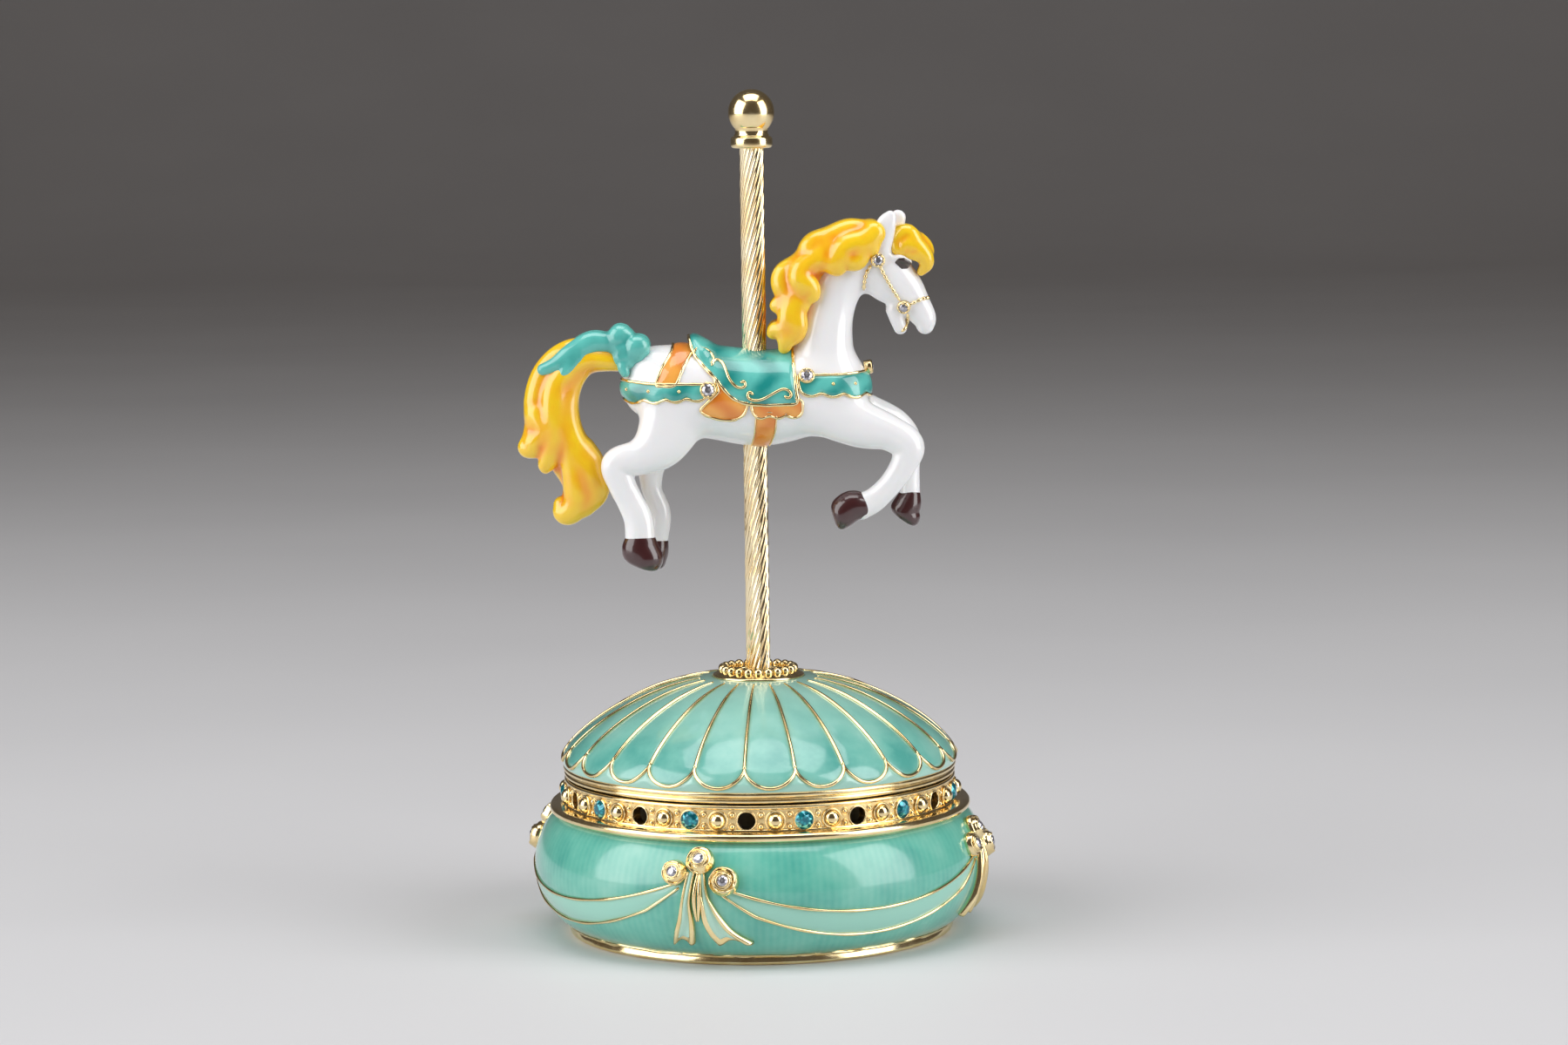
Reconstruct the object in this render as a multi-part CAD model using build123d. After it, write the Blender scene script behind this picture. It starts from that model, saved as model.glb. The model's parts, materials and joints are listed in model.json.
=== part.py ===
from build123d import *

import math
import os

os.makedirs("parts", exist_ok=True)

# A carousel music box: an enamelled bowl with a pierced gallery, a domed top that turns on the
# winding arbor, a twisted pole and a jumper horse.  All sizes are millimetres.
# Origin: centre of the foot's resting plane.  +Z up, +X the way the horse faces, -Y its near side.

# ------------------------------------------------------------------ driving dimensions: the case
TOTAL_HEIGHT = 150.0
FOOT_R = 34.1
FOOT_HEIGHT = 1.6
FOOT_RECESS_R = 32.2
BOWL_ARC_CENTRE = (27.55, 12.6)      # radius and height of the wall arc's centre
BOWL_ARC_R = 12.9
BOWL_WALL = 1.8
BOWL_TOP = 21.8
LEDGE_R = 37.7
LEDGE_CENTRE_Z = 22.7
BOWL_RIM_Z = 23.4
BOTTOM_SHOULDER = (29.5, 1.9, 3.9)   # inner radius, underside and top of the shoulder above the foot
MOUTH_SHOULDER = (31.0, 19.8, 21.0)  # the same for the shoulder that carries the movement
MOUTH_R = 33.2

GALLERY_R = 34.8
GALLERY_INNER_R = 33.0
GALLERY_LIP_R = 35.0
GALLERY_LIP_Z = 27.2
GALLERY_TOP = 28.0
GALLERY_MID_Z = 25.3
GALLERY_STEPS = 44                   # sound hole, bead, stone, bead, and round again
GALLERY_START_DEG = -3.9             # the first sound hole, just left of the front
SOUND_HOLE_R = 1.55
GALLERY_STONE_R = 1.35
GALLERY_BEAD_R = 1.15

SEAM = 0.25                          # running gap between the gallery and the turning dome
DOME_RIM_R = 35.2
DOME_RIM_Z = 30.1
DOME_SPRING_Z = 31.5                 # where the vault starts above the rim
DOME_TOP = 45.6
DOME_FLAT_R = 8.2
DOME_WALL = 1.5
DOME_CURVE = (1.6, 0.75)             # exponents of the vault's flattened curve

# ------------------------------------------------------------------ driving dimensions: the pole
COLLAR_R = 8.24
COLLAR_BEADS = 22
COLLAR_BEAD_R = 0.85
COLLAR_BEAD_RING_R = 6.35
COLLAR_FLOOR = 46.1
POLE_R = 2.07
POLE_TAIL_R = 1.5
POLE_TAIL_END = 40.0
POLE_TOP = 139.6
FINIAL_BALL_R = 4.1
FINIAL_SPIGOT_R = 1.0

# ------------------------------------------------------------------ driving dimensions: the movement
BOTTOM_PLATE = (32.0, 0.9, 1.9)      # radius, underside, top
FELT = (29.4, 0.35, 0.9)
MOUNTING_PLATE = (33.0, 21.0, 22.2)
BEDPLATE_X = (-12.5, 28.8)
BEDPLATE_HALF_Y = 15.5
BEDPLATE_Z = (19.6, 21.0)
BEDPLATE_REACH = 30.4
ARBOR_R = 1.4
RUNNING = 0.05                       # radial clearance of a running fit
CROWN_TEETH = 36
PINION_TEETH = 12
CROWN_R = 9.0                        # pitch radius of the crown teeth
CROWN_TIP_Z = 16.4
CROWN_DISC = (17.6, 18.4)
CYLINDER_AXIS_Z = 13.9
CYLINDER_R = 4.6
CYLINDER_X = (11.2, 24.0)
PIN_REACH = 5.15
PIN_R = 0.15
SHAFT_R = 0.6
NOTES = 18
PINS_PER_NOTE = 3
DRIVE_MODULE = 0.5
TRAIN_MODULE = 0.3
TRAIN_WHEEL_TEETH = 36
TRAIN_PINION_TEETH = 12
TRAIN_DEG = 25.0                     # how far below the cylinder's axis the second arbor lies
WORM_MODULE = 0.35
WORM_WHEEL_TEETH = 24
WORM_R = 1.1                         # pitch radius of the worm
WORM_X = 26.35

TRAIN_CENTRES = TRAIN_MODULE * (TRAIN_WHEEL_TEETH + TRAIN_PINION_TEETH) / 2
SECOND_Y = -TRAIN_CENTRES * math.cos(math.radians(TRAIN_DEG))
SECOND_Z = CYLINDER_AXIS_Z - TRAIN_CENTRES * math.sin(math.radians(TRAIN_DEG))
WORM_WHEEL_R = WORM_MODULE * WORM_WHEEL_TEETH / 2
WORM_Y = SECOND_Y - WORM_WHEEL_R - WORM_R
WORM_PITCH = math.pi * WORM_MODULE

# ------------------------------------------------------------------ driving dimensions: the bows
BOW_DEGREES = {"front": -15.5, "right": 74.5, "back": 164.5, "left": -105.5}
ROSETTES = ((-4.2, 17.1, 2.3), (0.2, 19.2, 2.1), (4.4, 15.8, 2.3))  # across, height, radius
RIBBON_THICKNESS = 0.9
RIBBON_TAILS = (
    ((-0.9, 17.6), (0.8, 17.6), (-0.8, 10.0), (-1.2, 4.6), (-4.9, 4.4), (-2.6, 10.0)),
    ((-0.6, 17.2), (1.0, 17.0), (4.2, 10.0), (8.8, 4.8), (3.6, 4.2), (1.0, 10.0)),
)
BOW_STONE_R = 0.8

made = {}


def keep(name, *solids):
    """Write one node: a single piece, or a group of identical loose pieces."""
    group = []
    for solid in solids:
        group.extend(solid.solids())
    made[name] = group
    export_step(Compound(children=[Part(s.wrapped) for s in group]), f"parts/{name}.step")


def turned(points, turn=360):
    """Revolve a closed outline of (radius, height) points about Z."""
    return revolve(Plane.XZ * make_face(Polyline(*points, close=True)), Axis.Z, turn)


def ring(r_outer, r_inner, low, high):
    """A plain ring or, with no inner radius, a disc."""
    body = Pos(0, 0, (low + high) / 2) * Cylinder(r_outer, high - low)
    if r_inner:
        body -= Pos(0, 0, (low + high) / 2) * Cylinder(r_inner, high - low + 1)
    return body


def block(xs, ys, zs):
    """A rectangular block from its limits."""
    size = [b - a for a, b in (xs, ys, zs)]
    centre = [(a + b) / 2 for a, b in (xs, ys, zs)]
    return Pos(*centre) * Box(*size)


def rod_x(r, xs, y, z):
    """A round bar along X."""
    return Pos((xs[0] + xs[1]) / 2, y, z) * Rot(0, 90, 0) * Cylinder(r, xs[1] - xs[0])


def around(degrees, shape):
    """Turn a shape made at the front about Z; positive goes to the right."""
    return Rot(0, 0, degrees) * shape


def spoke(r, near, far, z):
    """A round bar that points straight out at the front, between two radii."""
    return Pos(0, -(near + far) / 2, z) * Rot(90, 0, 0) * Cylinder(r, far - near)


def screw(x, y, head_r, head, shank_r, tip):
    """A slotted screw on a vertical line.  head is (outer face, inner face); tip is the far end."""
    outer, inner = head
    low, high = sorted((outer, inner))
    up = 1 if outer > inner else -1
    body = Pos(x, y, (low + high) / 2) * Cylinder(head_r, high - low)
    low, high = sorted((inner, tip))
    body += Pos(x, y, (low + high) / 2) * Cylinder(shank_r, high - low)
    slot_depth = 0.4 * abs(outer - inner)
    return body - Pos(x, y, outer - up * slot_depth / 2) * Box(2 * head_r + 1, 0.35, slot_depth)


def gear_face(teeth, module, phase, share=0.4, depth=(0.8, 1.1)):
    """A wheel's outline: straight-flanked teeth, the first centred on the angle phase."""
    pitch_r = module * teeth / 2
    tip_r = pitch_r + depth[0] * module
    root_r = pitch_r - depth[1] * module
    step = 2 * math.pi / teeth
    points = []
    for k in range(teeth):
        middle = math.radians(phase) + k * step
        for r, wide in ((root_r, 1.35), (tip_r, 0.6)):
            half = wide * share * step / 2
            points.append((r, middle - half))
        for r, wide in ((tip_r, 0.6), (root_r, 1.35)):
            half = wide * share * step / 2
            points.append((r, middle + half))
    corners = [(r * math.cos(a), r * math.sin(a)) for r, a in points]
    return make_face(Polyline(*corners, close=True))


def wheel_x(teeth, module, phase, xs, y, z, bore):
    """A toothed wheel whose axis lies along X; phase is measured from +Y towards +Z."""
    face = Plane.YZ.offset(xs[0]) * (Pos(y, z) * gear_face(teeth, module, phase))
    return extrude(face, xs[1] - xs[0]) - rod_x(bore, (xs[0] - 1, xs[1] + 1), y, z)


# ------------------------------------------------------------------ the bowl
def arc_point(radius, z, side=1):
    """The point at height z on an arc about the bowl's arc centre."""
    cr, cz = BOWL_ARC_CENTRE
    return (cr + side * math.sqrt(radius ** 2 - (z - cz) ** 2), z)


def wall_arc(radius, z_low, z_high):
    """The wall's arc, from the lower height to the upper one."""
    cr, cz = BOWL_ARC_CENTRE
    return ThreePointArc(arc_point(radius, z_low), (cr + radius, cz), arc_point(radius, z_high))


def bowl_solid():
    inner_arc = BOWL_ARC_R - BOWL_WALL
    shoulder_r, shoulder_low, shoulder_high = BOTTOM_SHOULDER
    mouth_r, mouth_low, mouth_high = MOUTH_SHOULDER
    foot_top = arc_point(BOWL_ARC_R, FOOT_HEIGHT)
    top = arc_point(BOWL_ARC_R, BOWL_TOP)
    inner_low = arc_point(inner_arc, shoulder_high)
    inner_high = arc_point(inner_arc, mouth_low)
    ledge_low = (LEDGE_R - 0.6, BOWL_TOP)
    ledge_high = (LEDGE_R - 0.6, BOWL_RIM_Z)
    outline = [
        Line((FOOT_R, 0), foot_top),
        wall_arc(BOWL_ARC_R, FOOT_HEIGHT, BOWL_TOP),
        Line(top, ledge_low),
        ThreePointArc(ledge_low, (LEDGE_R, LEDGE_CENTRE_Z), ledge_high),
        Polyline(ledge_high, (MOUTH_R, BOWL_RIM_Z), (MOUTH_R, mouth_high),
                 (mouth_r, mouth_high), (mouth_r, mouth_low), inner_high),
        wall_arc(inner_arc, shoulder_high, mouth_low),
        Polyline(inner_low, (shoulder_r, shoulder_high), (shoulder_r, shoulder_low),
                 (FOOT_RECESS_R, shoulder_low), (FOOT_RECESS_R, 0), (FOOT_R, 0)),
    ]
    return revolve(Plane.XZ * make_face(outline), Axis.Z)


PLATE_SCREWS = [(30.9, a) for a in (30, 150, 270)]
MOUNT_SCREWS = [(32.0, a) for a in (50, 170, 290)]


def at(polar):
    """The x and y of a (radius, degrees) pair, degrees from +X."""
    r, a = polar
    return r * math.cos(math.radians(a)), r * math.sin(math.radians(a))


bowl = bowl_solid()
for spot in PLATE_SCREWS:
    x, y = at(spot)
    bowl -= Pos(x, y, 2.9) * Cylinder(0.6, 2.0)
for spot in MOUNT_SCREWS:
    x, y = at(spot)
    bowl -= Pos(x, y, 20.2) * Cylinder(0.5, 1.6)
keep("bowl", bowl)

# ------------------------------------------------------------------ the pierced gallery
SPIGOT_R = 32.4


def gallery_degrees(kind):
    """Angles of the sound holes (0), the stones (2) or the beads (1 and 3)."""
    step = 360 / GALLERY_STEPS
    return [GALLERY_START_DEG + step * k for k in range(GALLERY_STEPS) if k % 4 in kind]


gallery = turned([(SPIGOT_R, MOUNTING_PLATE[2]), (MOUTH_R, MOUNTING_PLATE[2]), (MOUTH_R, BOWL_RIM_Z),
                  (GALLERY_R, BOWL_RIM_Z), (GALLERY_R, GALLERY_LIP_Z), (GALLERY_LIP_R, GALLERY_LIP_Z),
                  (GALLERY_LIP_R, GALLERY_TOP), (GALLERY_INNER_R, GALLERY_TOP),
                  (GALLERY_INNER_R, BOWL_RIM_Z), (SPIGOT_R, BOWL_RIM_Z - 0.4)])
bead = Pos(0, -GALLERY_R, GALLERY_MID_Z) * Sphere(GALLERY_BEAD_R)
setting = spoke(GALLERY_STONE_R + 0.25, GALLERY_R - 0.3, GALLERY_R + 0.4, GALLERY_MID_Z)
gallery += [around(a, bead) for a in gallery_degrees((1, 3))]
gallery += [around(a, setting) for a in gallery_degrees((2,))]
hole = spoke(SOUND_HOLE_R, GALLERY_INNER_R - 1.2, GALLERY_R + 1, GALLERY_MID_Z)
pocket = spoke(GALLERY_STONE_R, GALLERY_R - 0.4, GALLERY_R + 1, GALLERY_MID_Z)
gallery -= [around(a, hole) for a in gallery_degrees((0,))]
gallery -= [around(a, pocket) for a in gallery_degrees((2,))]
keep("gallery_ring", gallery)

stone = Pos(0, -GALLERY_R, GALLERY_MID_Z) * Rot(90, 0, 0) * (
    Pos(0, 0, 0.1) * Cylinder(GALLERY_STONE_R, 1.0)
    + Pos(0, 0, 0.9) * Cone(GALLERY_STONE_R, 0.7, 0.6))
keep("gallery_stones", *[around(a, stone) for a in gallery_degrees((2,))])


# ------------------------------------------------------------------ the bows on the bowl
def bow_shapes():
    """One bow at the front: two ribbon tails that hug the wall and three rosettes; then its stones."""
    outer = BOWL_ARC_R + RIBBON_THICKNESS
    low, high = 3.2, 21.0
    skin = revolve(Plane.XZ * make_face([
        wall_arc(BOWL_ARC_R, low, high), Line(arc_point(BOWL_ARC_R, high), arc_point(outer, high)),
        wall_arc(outer, low, high), Line(arc_point(outer, low), arc_point(BOWL_ARC_R, low))]), Axis.Z)
    parts = []
    for tail in RIBBON_TAILS:
        face = Plane.XZ.offset(30) * make_face(Polyline(*tail, close=True))
        parts.append(extrude(face, 20) & skin)
    core = revolve(Plane.XZ * make_face([
        wall_arc(BOWL_ARC_R, low, high),
        Polyline(arc_point(BOWL_ARC_R, high), (20, high), (20, low), arc_point(BOWL_ARC_R, low))]), Axis.Z)
    stones = []
    cr, cz = BOWL_ARC_CENTRE
    for across, z, r in ROSETTES:
        lean = math.degrees(math.asin((z - cz) / BOWL_ARC_R))
        wall_r = arc_point(BOWL_ARC_R, z)[0]
        turn = math.degrees(math.asin(across / wall_r))
        place = Rot(0, 0, turn) * Pos(0, -wall_r, z) * Rot(90 - lean, 0, 0)
        parts.append(place * Pos(0, 0, 0.3) * Cylinder(r, 2.0) - core)
        pit = place * Pos(0, 0, 1.35) * Cylinder(BOW_STONE_R, 0.9)
        stones.append(pit)
    bow = parts[0]
    for piece in parts[1:]:
        bow += piece
    for pit in stones:
        bow -= pit
    return bow, stones


bow_shape, bow_stone_set = bow_shapes()
all_stones = []
for side, degrees in BOW_DEGREES.items():
    keep(f"bow_{side}", around(degrees, bow_shape))
    all_stones += [around(degrees, s) for s in bow_stone_set]
keep("bow_stones", *all_stones)

# ------------------------------------------------------------------ the underside
bottom_plate = ring(BOTTOM_PLATE[0], 0, *BOTTOM_PLATE[1:])
plate_screws = []
for spot in PLATE_SCREWS:
    x, y = at(spot)
    plate_screws.append(screw(x, y, 1.0, (BOTTOM_PLATE[1], 1.4), 0.6, 3.8))
    bottom_plate -= plate_screws[-1]
    bottom_plate -= Pos(x, y, 1.15) * Cylinder(1.0, 0.5)
keep("bottom_plate", bottom_plate)
keep("bottom_plate_screws", *plate_screws)
keep("felt_pad", ring(FELT[0], 0, *FELT[1:]))

# ------------------------------------------------------------------ plates that carry the movement
BUSH_R = 2.6
BED_SCREWS = [(-10.6, 13.4), (-10.6, -13.4), (16.0, -13.4), (26.6, 11.0)]
HOUSING_POSTS = [(11.4, 125), (11.4, 235)]
COMB_SCREWS = [(14.0, 13.0), (21.8, 13.0)]
COMB_SEAT = ((11.0, 24.8), (11.0, 14.8), (14.8, 19.7))
BRACKET_SCREW = (21.4, -10.6)

mounting_plate = ring(MOUNTING_PLATE[0], BUSH_R, *MOUNTING_PLATE[1:])
bedplate = block(BEDPLATE_X, (-BEDPLATE_HALF_Y, BEDPLATE_HALF_Y), BEDPLATE_Z)
bedplate &= ring(BEDPLATE_REACH, 0, *BEDPLATE_Z)
bedplate += block(*COMB_SEAT)
bedplate -= ring(BUSH_R, 0, 19, 22)
bedplate -= block((23.95, 25.45), (-4, 4), (19.5, 20.4))
mount_screws = []
for spot in MOUNT_SCREWS:
    x, y = at(spot)
    mount_screws.append(screw(x, y, 0.9, (MOUNTING_PLATE[2], 21.8), 0.5, 19.9))
    mounting_plate -= Pos(x, y, 21.6) * Cylinder(0.5, 1.4) + Pos(x, y, 22.1) * Cylinder(0.9, 0.6)
bed_screws = []
for x, y in BED_SCREWS:
    bed_screws.append(screw(x, y, 1.3, (19.0, BEDPLATE_Z[0]), 0.7, 22.0))
    bedplate -= Pos(x, y, 20.3) * Cylinder(0.7, 2)
    mounting_plate -= Pos(x, y, 21.5) * Cylinder(0.7, 1.0)
housing_screws = []
for spot in HOUSING_POSTS:
    x, y = at(spot)
    housing_screws.append(screw(x, y, 1.2, (BEDPLATE_Z[1], 20.4), 0.5, 17.0))
    bedplate -= Pos(x, y, 20.3) * Cylinder(0.5, 2) + Pos(x, y, 20.75) * Cylinder(1.2, 0.7)
comb_screws = []
for x, y in COMB_SCREWS:
    comb_screws.append(screw(x, y, 1.1, (12.4, 13.1), 0.6, 18.0))
    bedplate -= Pos(x, y, 16.4) * Cylinder(0.6, 3.2)
x, y = BRACKET_SCREW
bracket_screw = screw(x, y, 1.1, (18.3, 18.9), 0.6, 20.8)
bedplate -= Pos(x, y, 20.2) * Cylinder(0.6, 1.2)
keep("mounting_plate", mounting_plate)
keep("mounting_plate_screws", *mount_screws)
keep("movement_bedplate", bedplate)
keep("bedplate_screws", *bed_screws)
BUSH_COLLAR = (4.2, MOUNTING_PLATE[2], 22.9)   # radius, underside, top
WASHER = (4.0, BUSH_COLLAR[2], 23.4)
keep("arbor_bush", ring(BUSH_R, ARBOR_R + RUNNING, BEDPLATE_Z[0], BUSH_COLLAR[2])
     + ring(BUSH_COLLAR[0], ARBOR_R + RUNNING, *BUSH_COLLAR[1:]))
keep("thrust_washer", ring(WASHER[0], ARBOR_R + RUNNING, *WASHER[1:]))

# ------------------------------------------------------------------ spring housing and mainspring
HOUSING = (7.6, 6.9, 4.6, 16.2)       # outer and inner radius, underside and mouth
SPRING_THICKNESS = 0.3
SPRING_TURNS = 5

housing = ring(HOUSING[0], HOUSING[1], HOUSING[2], HOUSING[3]) + ring(HOUSING[0], 0, HOUSING[2], 5.4)
housing += ring(2.4, 0, 5.0, 6.2)
for spot in HOUSING_POSTS:
    x, y = at(spot)
    ear = block((7.2, 11.4), (-1.2, 1.2), (15.0, 16.2))
    housing += Rot(0, 0, spot[1]) * ear
    housing += Pos(x, y, 17.3) * Cylinder(1.2, 4.6)
    housing -= Pos(x, y, 18.4) * Cylinder(0.5, 2.8)
housing -= ring(ARBOR_R + RUNNING, 0, 4, 7)
keep("spring_housing", housing)
keep("housing_screws", *housing_screws)


def spiral(offset, turns, r_start, r_end, steps=14):
    """A flat spiral through evenly turned points, shifted outwards by offset."""
    count = turns * steps
    points = []
    for k in range(count + 1):
        r = r_start + (r_end - r_start) * k / count + offset
        a = 2 * math.pi * k / steps
        points.append((r * math.cos(a), r * math.sin(a)))
    return points


outer_edge = spiral(SPRING_THICKNESS, SPRING_TURNS, 1.9, 6.5)
inner_edge = spiral(0, SPRING_TURNS, 1.9, 6.5)
strip = make_face([Spline(*outer_edge), Line(outer_edge[-1], inner_edge[-1]),
                   Spline(*inner_edge), Line(inner_edge[0], outer_edge[0])])
keep("mainspring", extrude(Plane.XY.offset(6.6) * strip, 9.0))

# ------------------------------------------------------------------ winding arbor and crown wheel
ARBOR_END = 31.0
keep("winding_arbor", ring(ARBOR_R, 0, 4.9, ARBOR_END))
crown = ring(CROWN_R + 0.9, ARBOR_R, *CROWN_DISC)
tooth = make_face(Polyline((-0.36, CROWN_DISC[0] + 0.1), (0.36, CROWN_DISC[0] + 0.1),
                           (0.17, CROWN_TIP_Z), (-0.17, CROWN_TIP_Z), close=True))
tooth = extrude(Plane.XZ.offset(CROWN_R - 0.9) * tooth, 1.8)
crown += [Rot(0, 0, 90 + 360 / CROWN_TEETH * k) * tooth for k in range(CROWN_TEETH)]
keep("crown_wheel", crown)


def ratchet_face(teeth, r_tip, r_root):
    """Saw teeth: a slow rise and a sudden drop."""
    points = []
    for k in range(teeth):
        start = 2 * math.pi * k / teeth
        stop = 2 * math.pi * (k + 0.96) / teeth
        points.append((r_root * math.cos(start), r_root * math.sin(start)))
        points.append((r_tip * math.cos(stop), r_tip * math.sin(stop)))
    return make_face(Polyline(*points, close=True))


ratchet = extrude(Plane.XY.offset(CROWN_DISC[1]) * ratchet_face(12, 3.0, 2.5), 0.5)
keep("ratchet_wheel", ratchet - ring(ARBOR_R, 0, 17, 20))
click = block((-4.6, 2.4), (3.15, 3.5), (CROWN_DISC[1], 18.9))
click += Pos(-5.0, 3.9, 18.65) * Cylinder(1.0, 0.5)
keep("click_spring", click)

# ------------------------------------------------------------------ musical cylinder and its shaft
cylinder = rod_x(CYLINDER_R, CYLINDER_X, 0, CYLINDER_AXIS_Z)
cylinder -= rod_x(CYLINDER_R - 0.6, (CYLINDER_X[0] + 0.8, CYLINDER_X[1] - 0.8), 0, CYLINDER_AXIS_Z)
cylinder -= rod_x(SHAFT_R, (CYLINDER_X[0] - 1, CYLINDER_X[1] + 1), 0, CYLINDER_AXIS_Z)
keep("music_cylinder", cylinder)
NOTE_STEP = 0.72
FIRST_NOTE_X = (CYLINDER_X[0] + CYLINDER_X[1] - NOTE_STEP * (NOTES - 1)) / 2
pins = []
for note in range(NOTES):
    for turn in range(PINS_PER_NOTE):
        degrees = 15 + (note * 83 + turn * 131) % 330
        pin = Pos(0, 0, (CYLINDER_R - 0.1 + PIN_REACH) / 2) * Cylinder(PIN_R, PIN_REACH - CYLINDER_R + 0.1)
        pins.append(Pos(FIRST_NOTE_X + NOTE_STEP * note, 0, CYLINDER_AXIS_Z) * Rot(degrees, 0, 0) * pin)
keep("cylinder_pins", *pins)
keep("cylinder_shaft", rod_x(SHAFT_R, (7.9, 26.4), 0, CYLINDER_AXIS_Z))
keep("cylinder_pinion", wheel_x(PINION_TEETH, DRIVE_MODULE, 90 + 180 / PINION_TEETH, (8.2, 9.8),
                                0, CYLINDER_AXIS_Z, SHAFT_R))
keep("cylinder_wheel", wheel_x(TRAIN_WHEEL_TEETH, TRAIN_MODULE, 180 + TRAIN_DEG, (24.35, 25.05),
                               0, CYLINDER_AXIS_Z, SHAFT_R))


def bearing_post(xs, ys):
    """A post that hangs from the bedplate and carries one end of the cylinder's shaft."""
    post = block(xs, ys, (12.6, BEDPLATE_Z[0]))
    return post - rod_x(SHAFT_R + RUNNING, (xs[0] - 1, xs[1] + 1), 0, CYLINDER_AXIS_Z)


keep("cylinder_bearing_left", bearing_post((10.3, 10.9), (-1.4, 1.4)))
keep("cylinder_bearing_right", bearing_post((25.5, 26.1), (-1.1, 1.4)))


# ------------------------------------------------------------------ comb
COMB_PLATE = ((11.0, 24.8), (11.0, 14.8), (13.1, 14.8))
TINE_Z = (13.6, 14.2)
TINE_GAP = 0.24
BASS_TINE_ROOT = 10.4                # how far back the saw cut runs at the bass end
TREBLE_RISE = 2.2


def comb_solid():
    """A steel plate with one tine for each note, longer at the bass end."""
    back_y = COMB_PLATE[1][0] + 0.2
    tip_y = PIN_REACH + 0.1
    left = FIRST_NOTE_X - NOTE_STEP / 2
    right = FIRST_NOTE_X + NOTE_STEP * (NOTES - 0.5)
    comb = block((left, right), (tip_y, back_y), TINE_Z)
    for note in range(NOTES - 1):
        root = BASS_TINE_ROOT - TREBLE_RISE * note / NOTES
        x = FIRST_NOTE_X + NOTE_STEP * (note + 0.5)
        comb -= block((x - TINE_GAP / 2, x + TINE_GAP / 2), (tip_y - 1, root), (13, 15))
    comb += block(*COMB_PLATE)
    for x, y in COMB_SCREWS:
        comb -= Pos(x, y, 14) * Cylinder(0.6, 3)
    return comb


keep("comb", comb_solid())
keep("comb_screws", *comb_screws)

# ------------------------------------------------------------------ second arbor and governor
SECOND_R = 0.35
SECOND_X = (23.0, 28.2)
SPINDLE_R = 0.3
BRACKET_BLOCKS = (
    ((20.0, 28.2), (-14.0, -5.2), (18.9, BEDPLATE_Z[0])),   # the foot under the bedplate
    ((23.2, 23.8), (-8.2, -5.8), (9.9, 19.0)),              # the inner cheek
    ((27.4, 28.0), (-9.4, -5.6), (6.4, 19.0)),              # the outer cheek
    ((24.8, 28.0), (-13.6, -9.2), (6.4, 7.0)),              # the shelf under the worm
)
keep("second_arbor", rod_x(SECOND_R, SECOND_X, SECOND_Y, SECOND_Z))
keep("second_pinion", wheel_x(TRAIN_PINION_TEETH, TRAIN_MODULE, TRAIN_DEG + 180 / TRAIN_PINION_TEETH,
                              (24.2, 25.2), SECOND_Y, SECOND_Z, SECOND_R))
keep("second_wheel", wheel_x(WORM_WHEEL_TEETH, WORM_MODULE, 180, (WORM_X - 0.25, WORM_X + 0.25),
                             SECOND_Y, SECOND_Z, SECOND_R))
bracket = block(*BRACKET_BLOCKS[0])
for limits in BRACKET_BLOCKS[1:]:
    bracket += block(*limits)
bracket -= rod_x(SECOND_R + RUNNING, (22, 29), SECOND_Y, SECOND_Z)
bracket -= Pos(WORM_X, WORM_Y, 13) * Cylinder(SPINDLE_R + RUNNING, 14)
bracket -= Pos(*BRACKET_SCREW, 19.2) * Cylinder(0.6, 2)
keep("governor_bracket", bracket)
keep("governor_screw", bracket_screw)


def worm_solid():
    """The governor's spindle with one turn-and-turn thread that meets the second wheel."""
    core_r = WORM_R - 0.3
    length = 4 * WORM_PITCH
    first = SECOND_Z + WORM_PITCH / 4 - 2 * WORM_PITCH
    spindle = Pos(0, 0, 12.8) * Cylinder(SPINDLE_R, 13.2)
    spindle += Pos(0, 0, first + length / 2) * Cylinder(core_r, length + 1.2)
    path = Helix(WORM_PITCH, length, core_r)
    section = Plane(origin=(core_r, 0, 0), x_dir=(1, 0, 0), z_dir=(0, -1, 0)) * make_face(
        Polyline((-0.1, -0.24), (0.5, -0.1), (0.5, 0.1), (-0.1, 0.24), close=True))
    thread = Pos(0, 0, first) * sweep(section, path, is_frenet=True)
    return Pos(WORM_X, WORM_Y, 0) * (spindle + thread)


keep("governor_worm", worm_solid())
VANE_Z = (15.6, 18.4)
VANE_REACH = 2.4
vane = block((-VANE_REACH, VANE_REACH), (-0.15, 0.15), VANE_Z) + ring(0.8, 0, *VANE_Z)
keep("governor_vanes", Pos(WORM_X, WORM_Y, 0) * Rot(0, 0, 35) * (vane - ring(SPINDLE_R, 0, 15, 19)))


# ------------------------------------------------------------------ the dome and what drives it
def vault_height(r):
    """Height of the dome's outer skin at a radius."""
    share = (r - DOME_FLAT_R) / (DOME_RIM_R - 0.1 - DOME_FLAT_R)
    power, root = DOME_CURVE
    return DOME_SPRING_Z + (DOME_TOP - DOME_SPRING_Z) * (1 - share ** power) ** root


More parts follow.
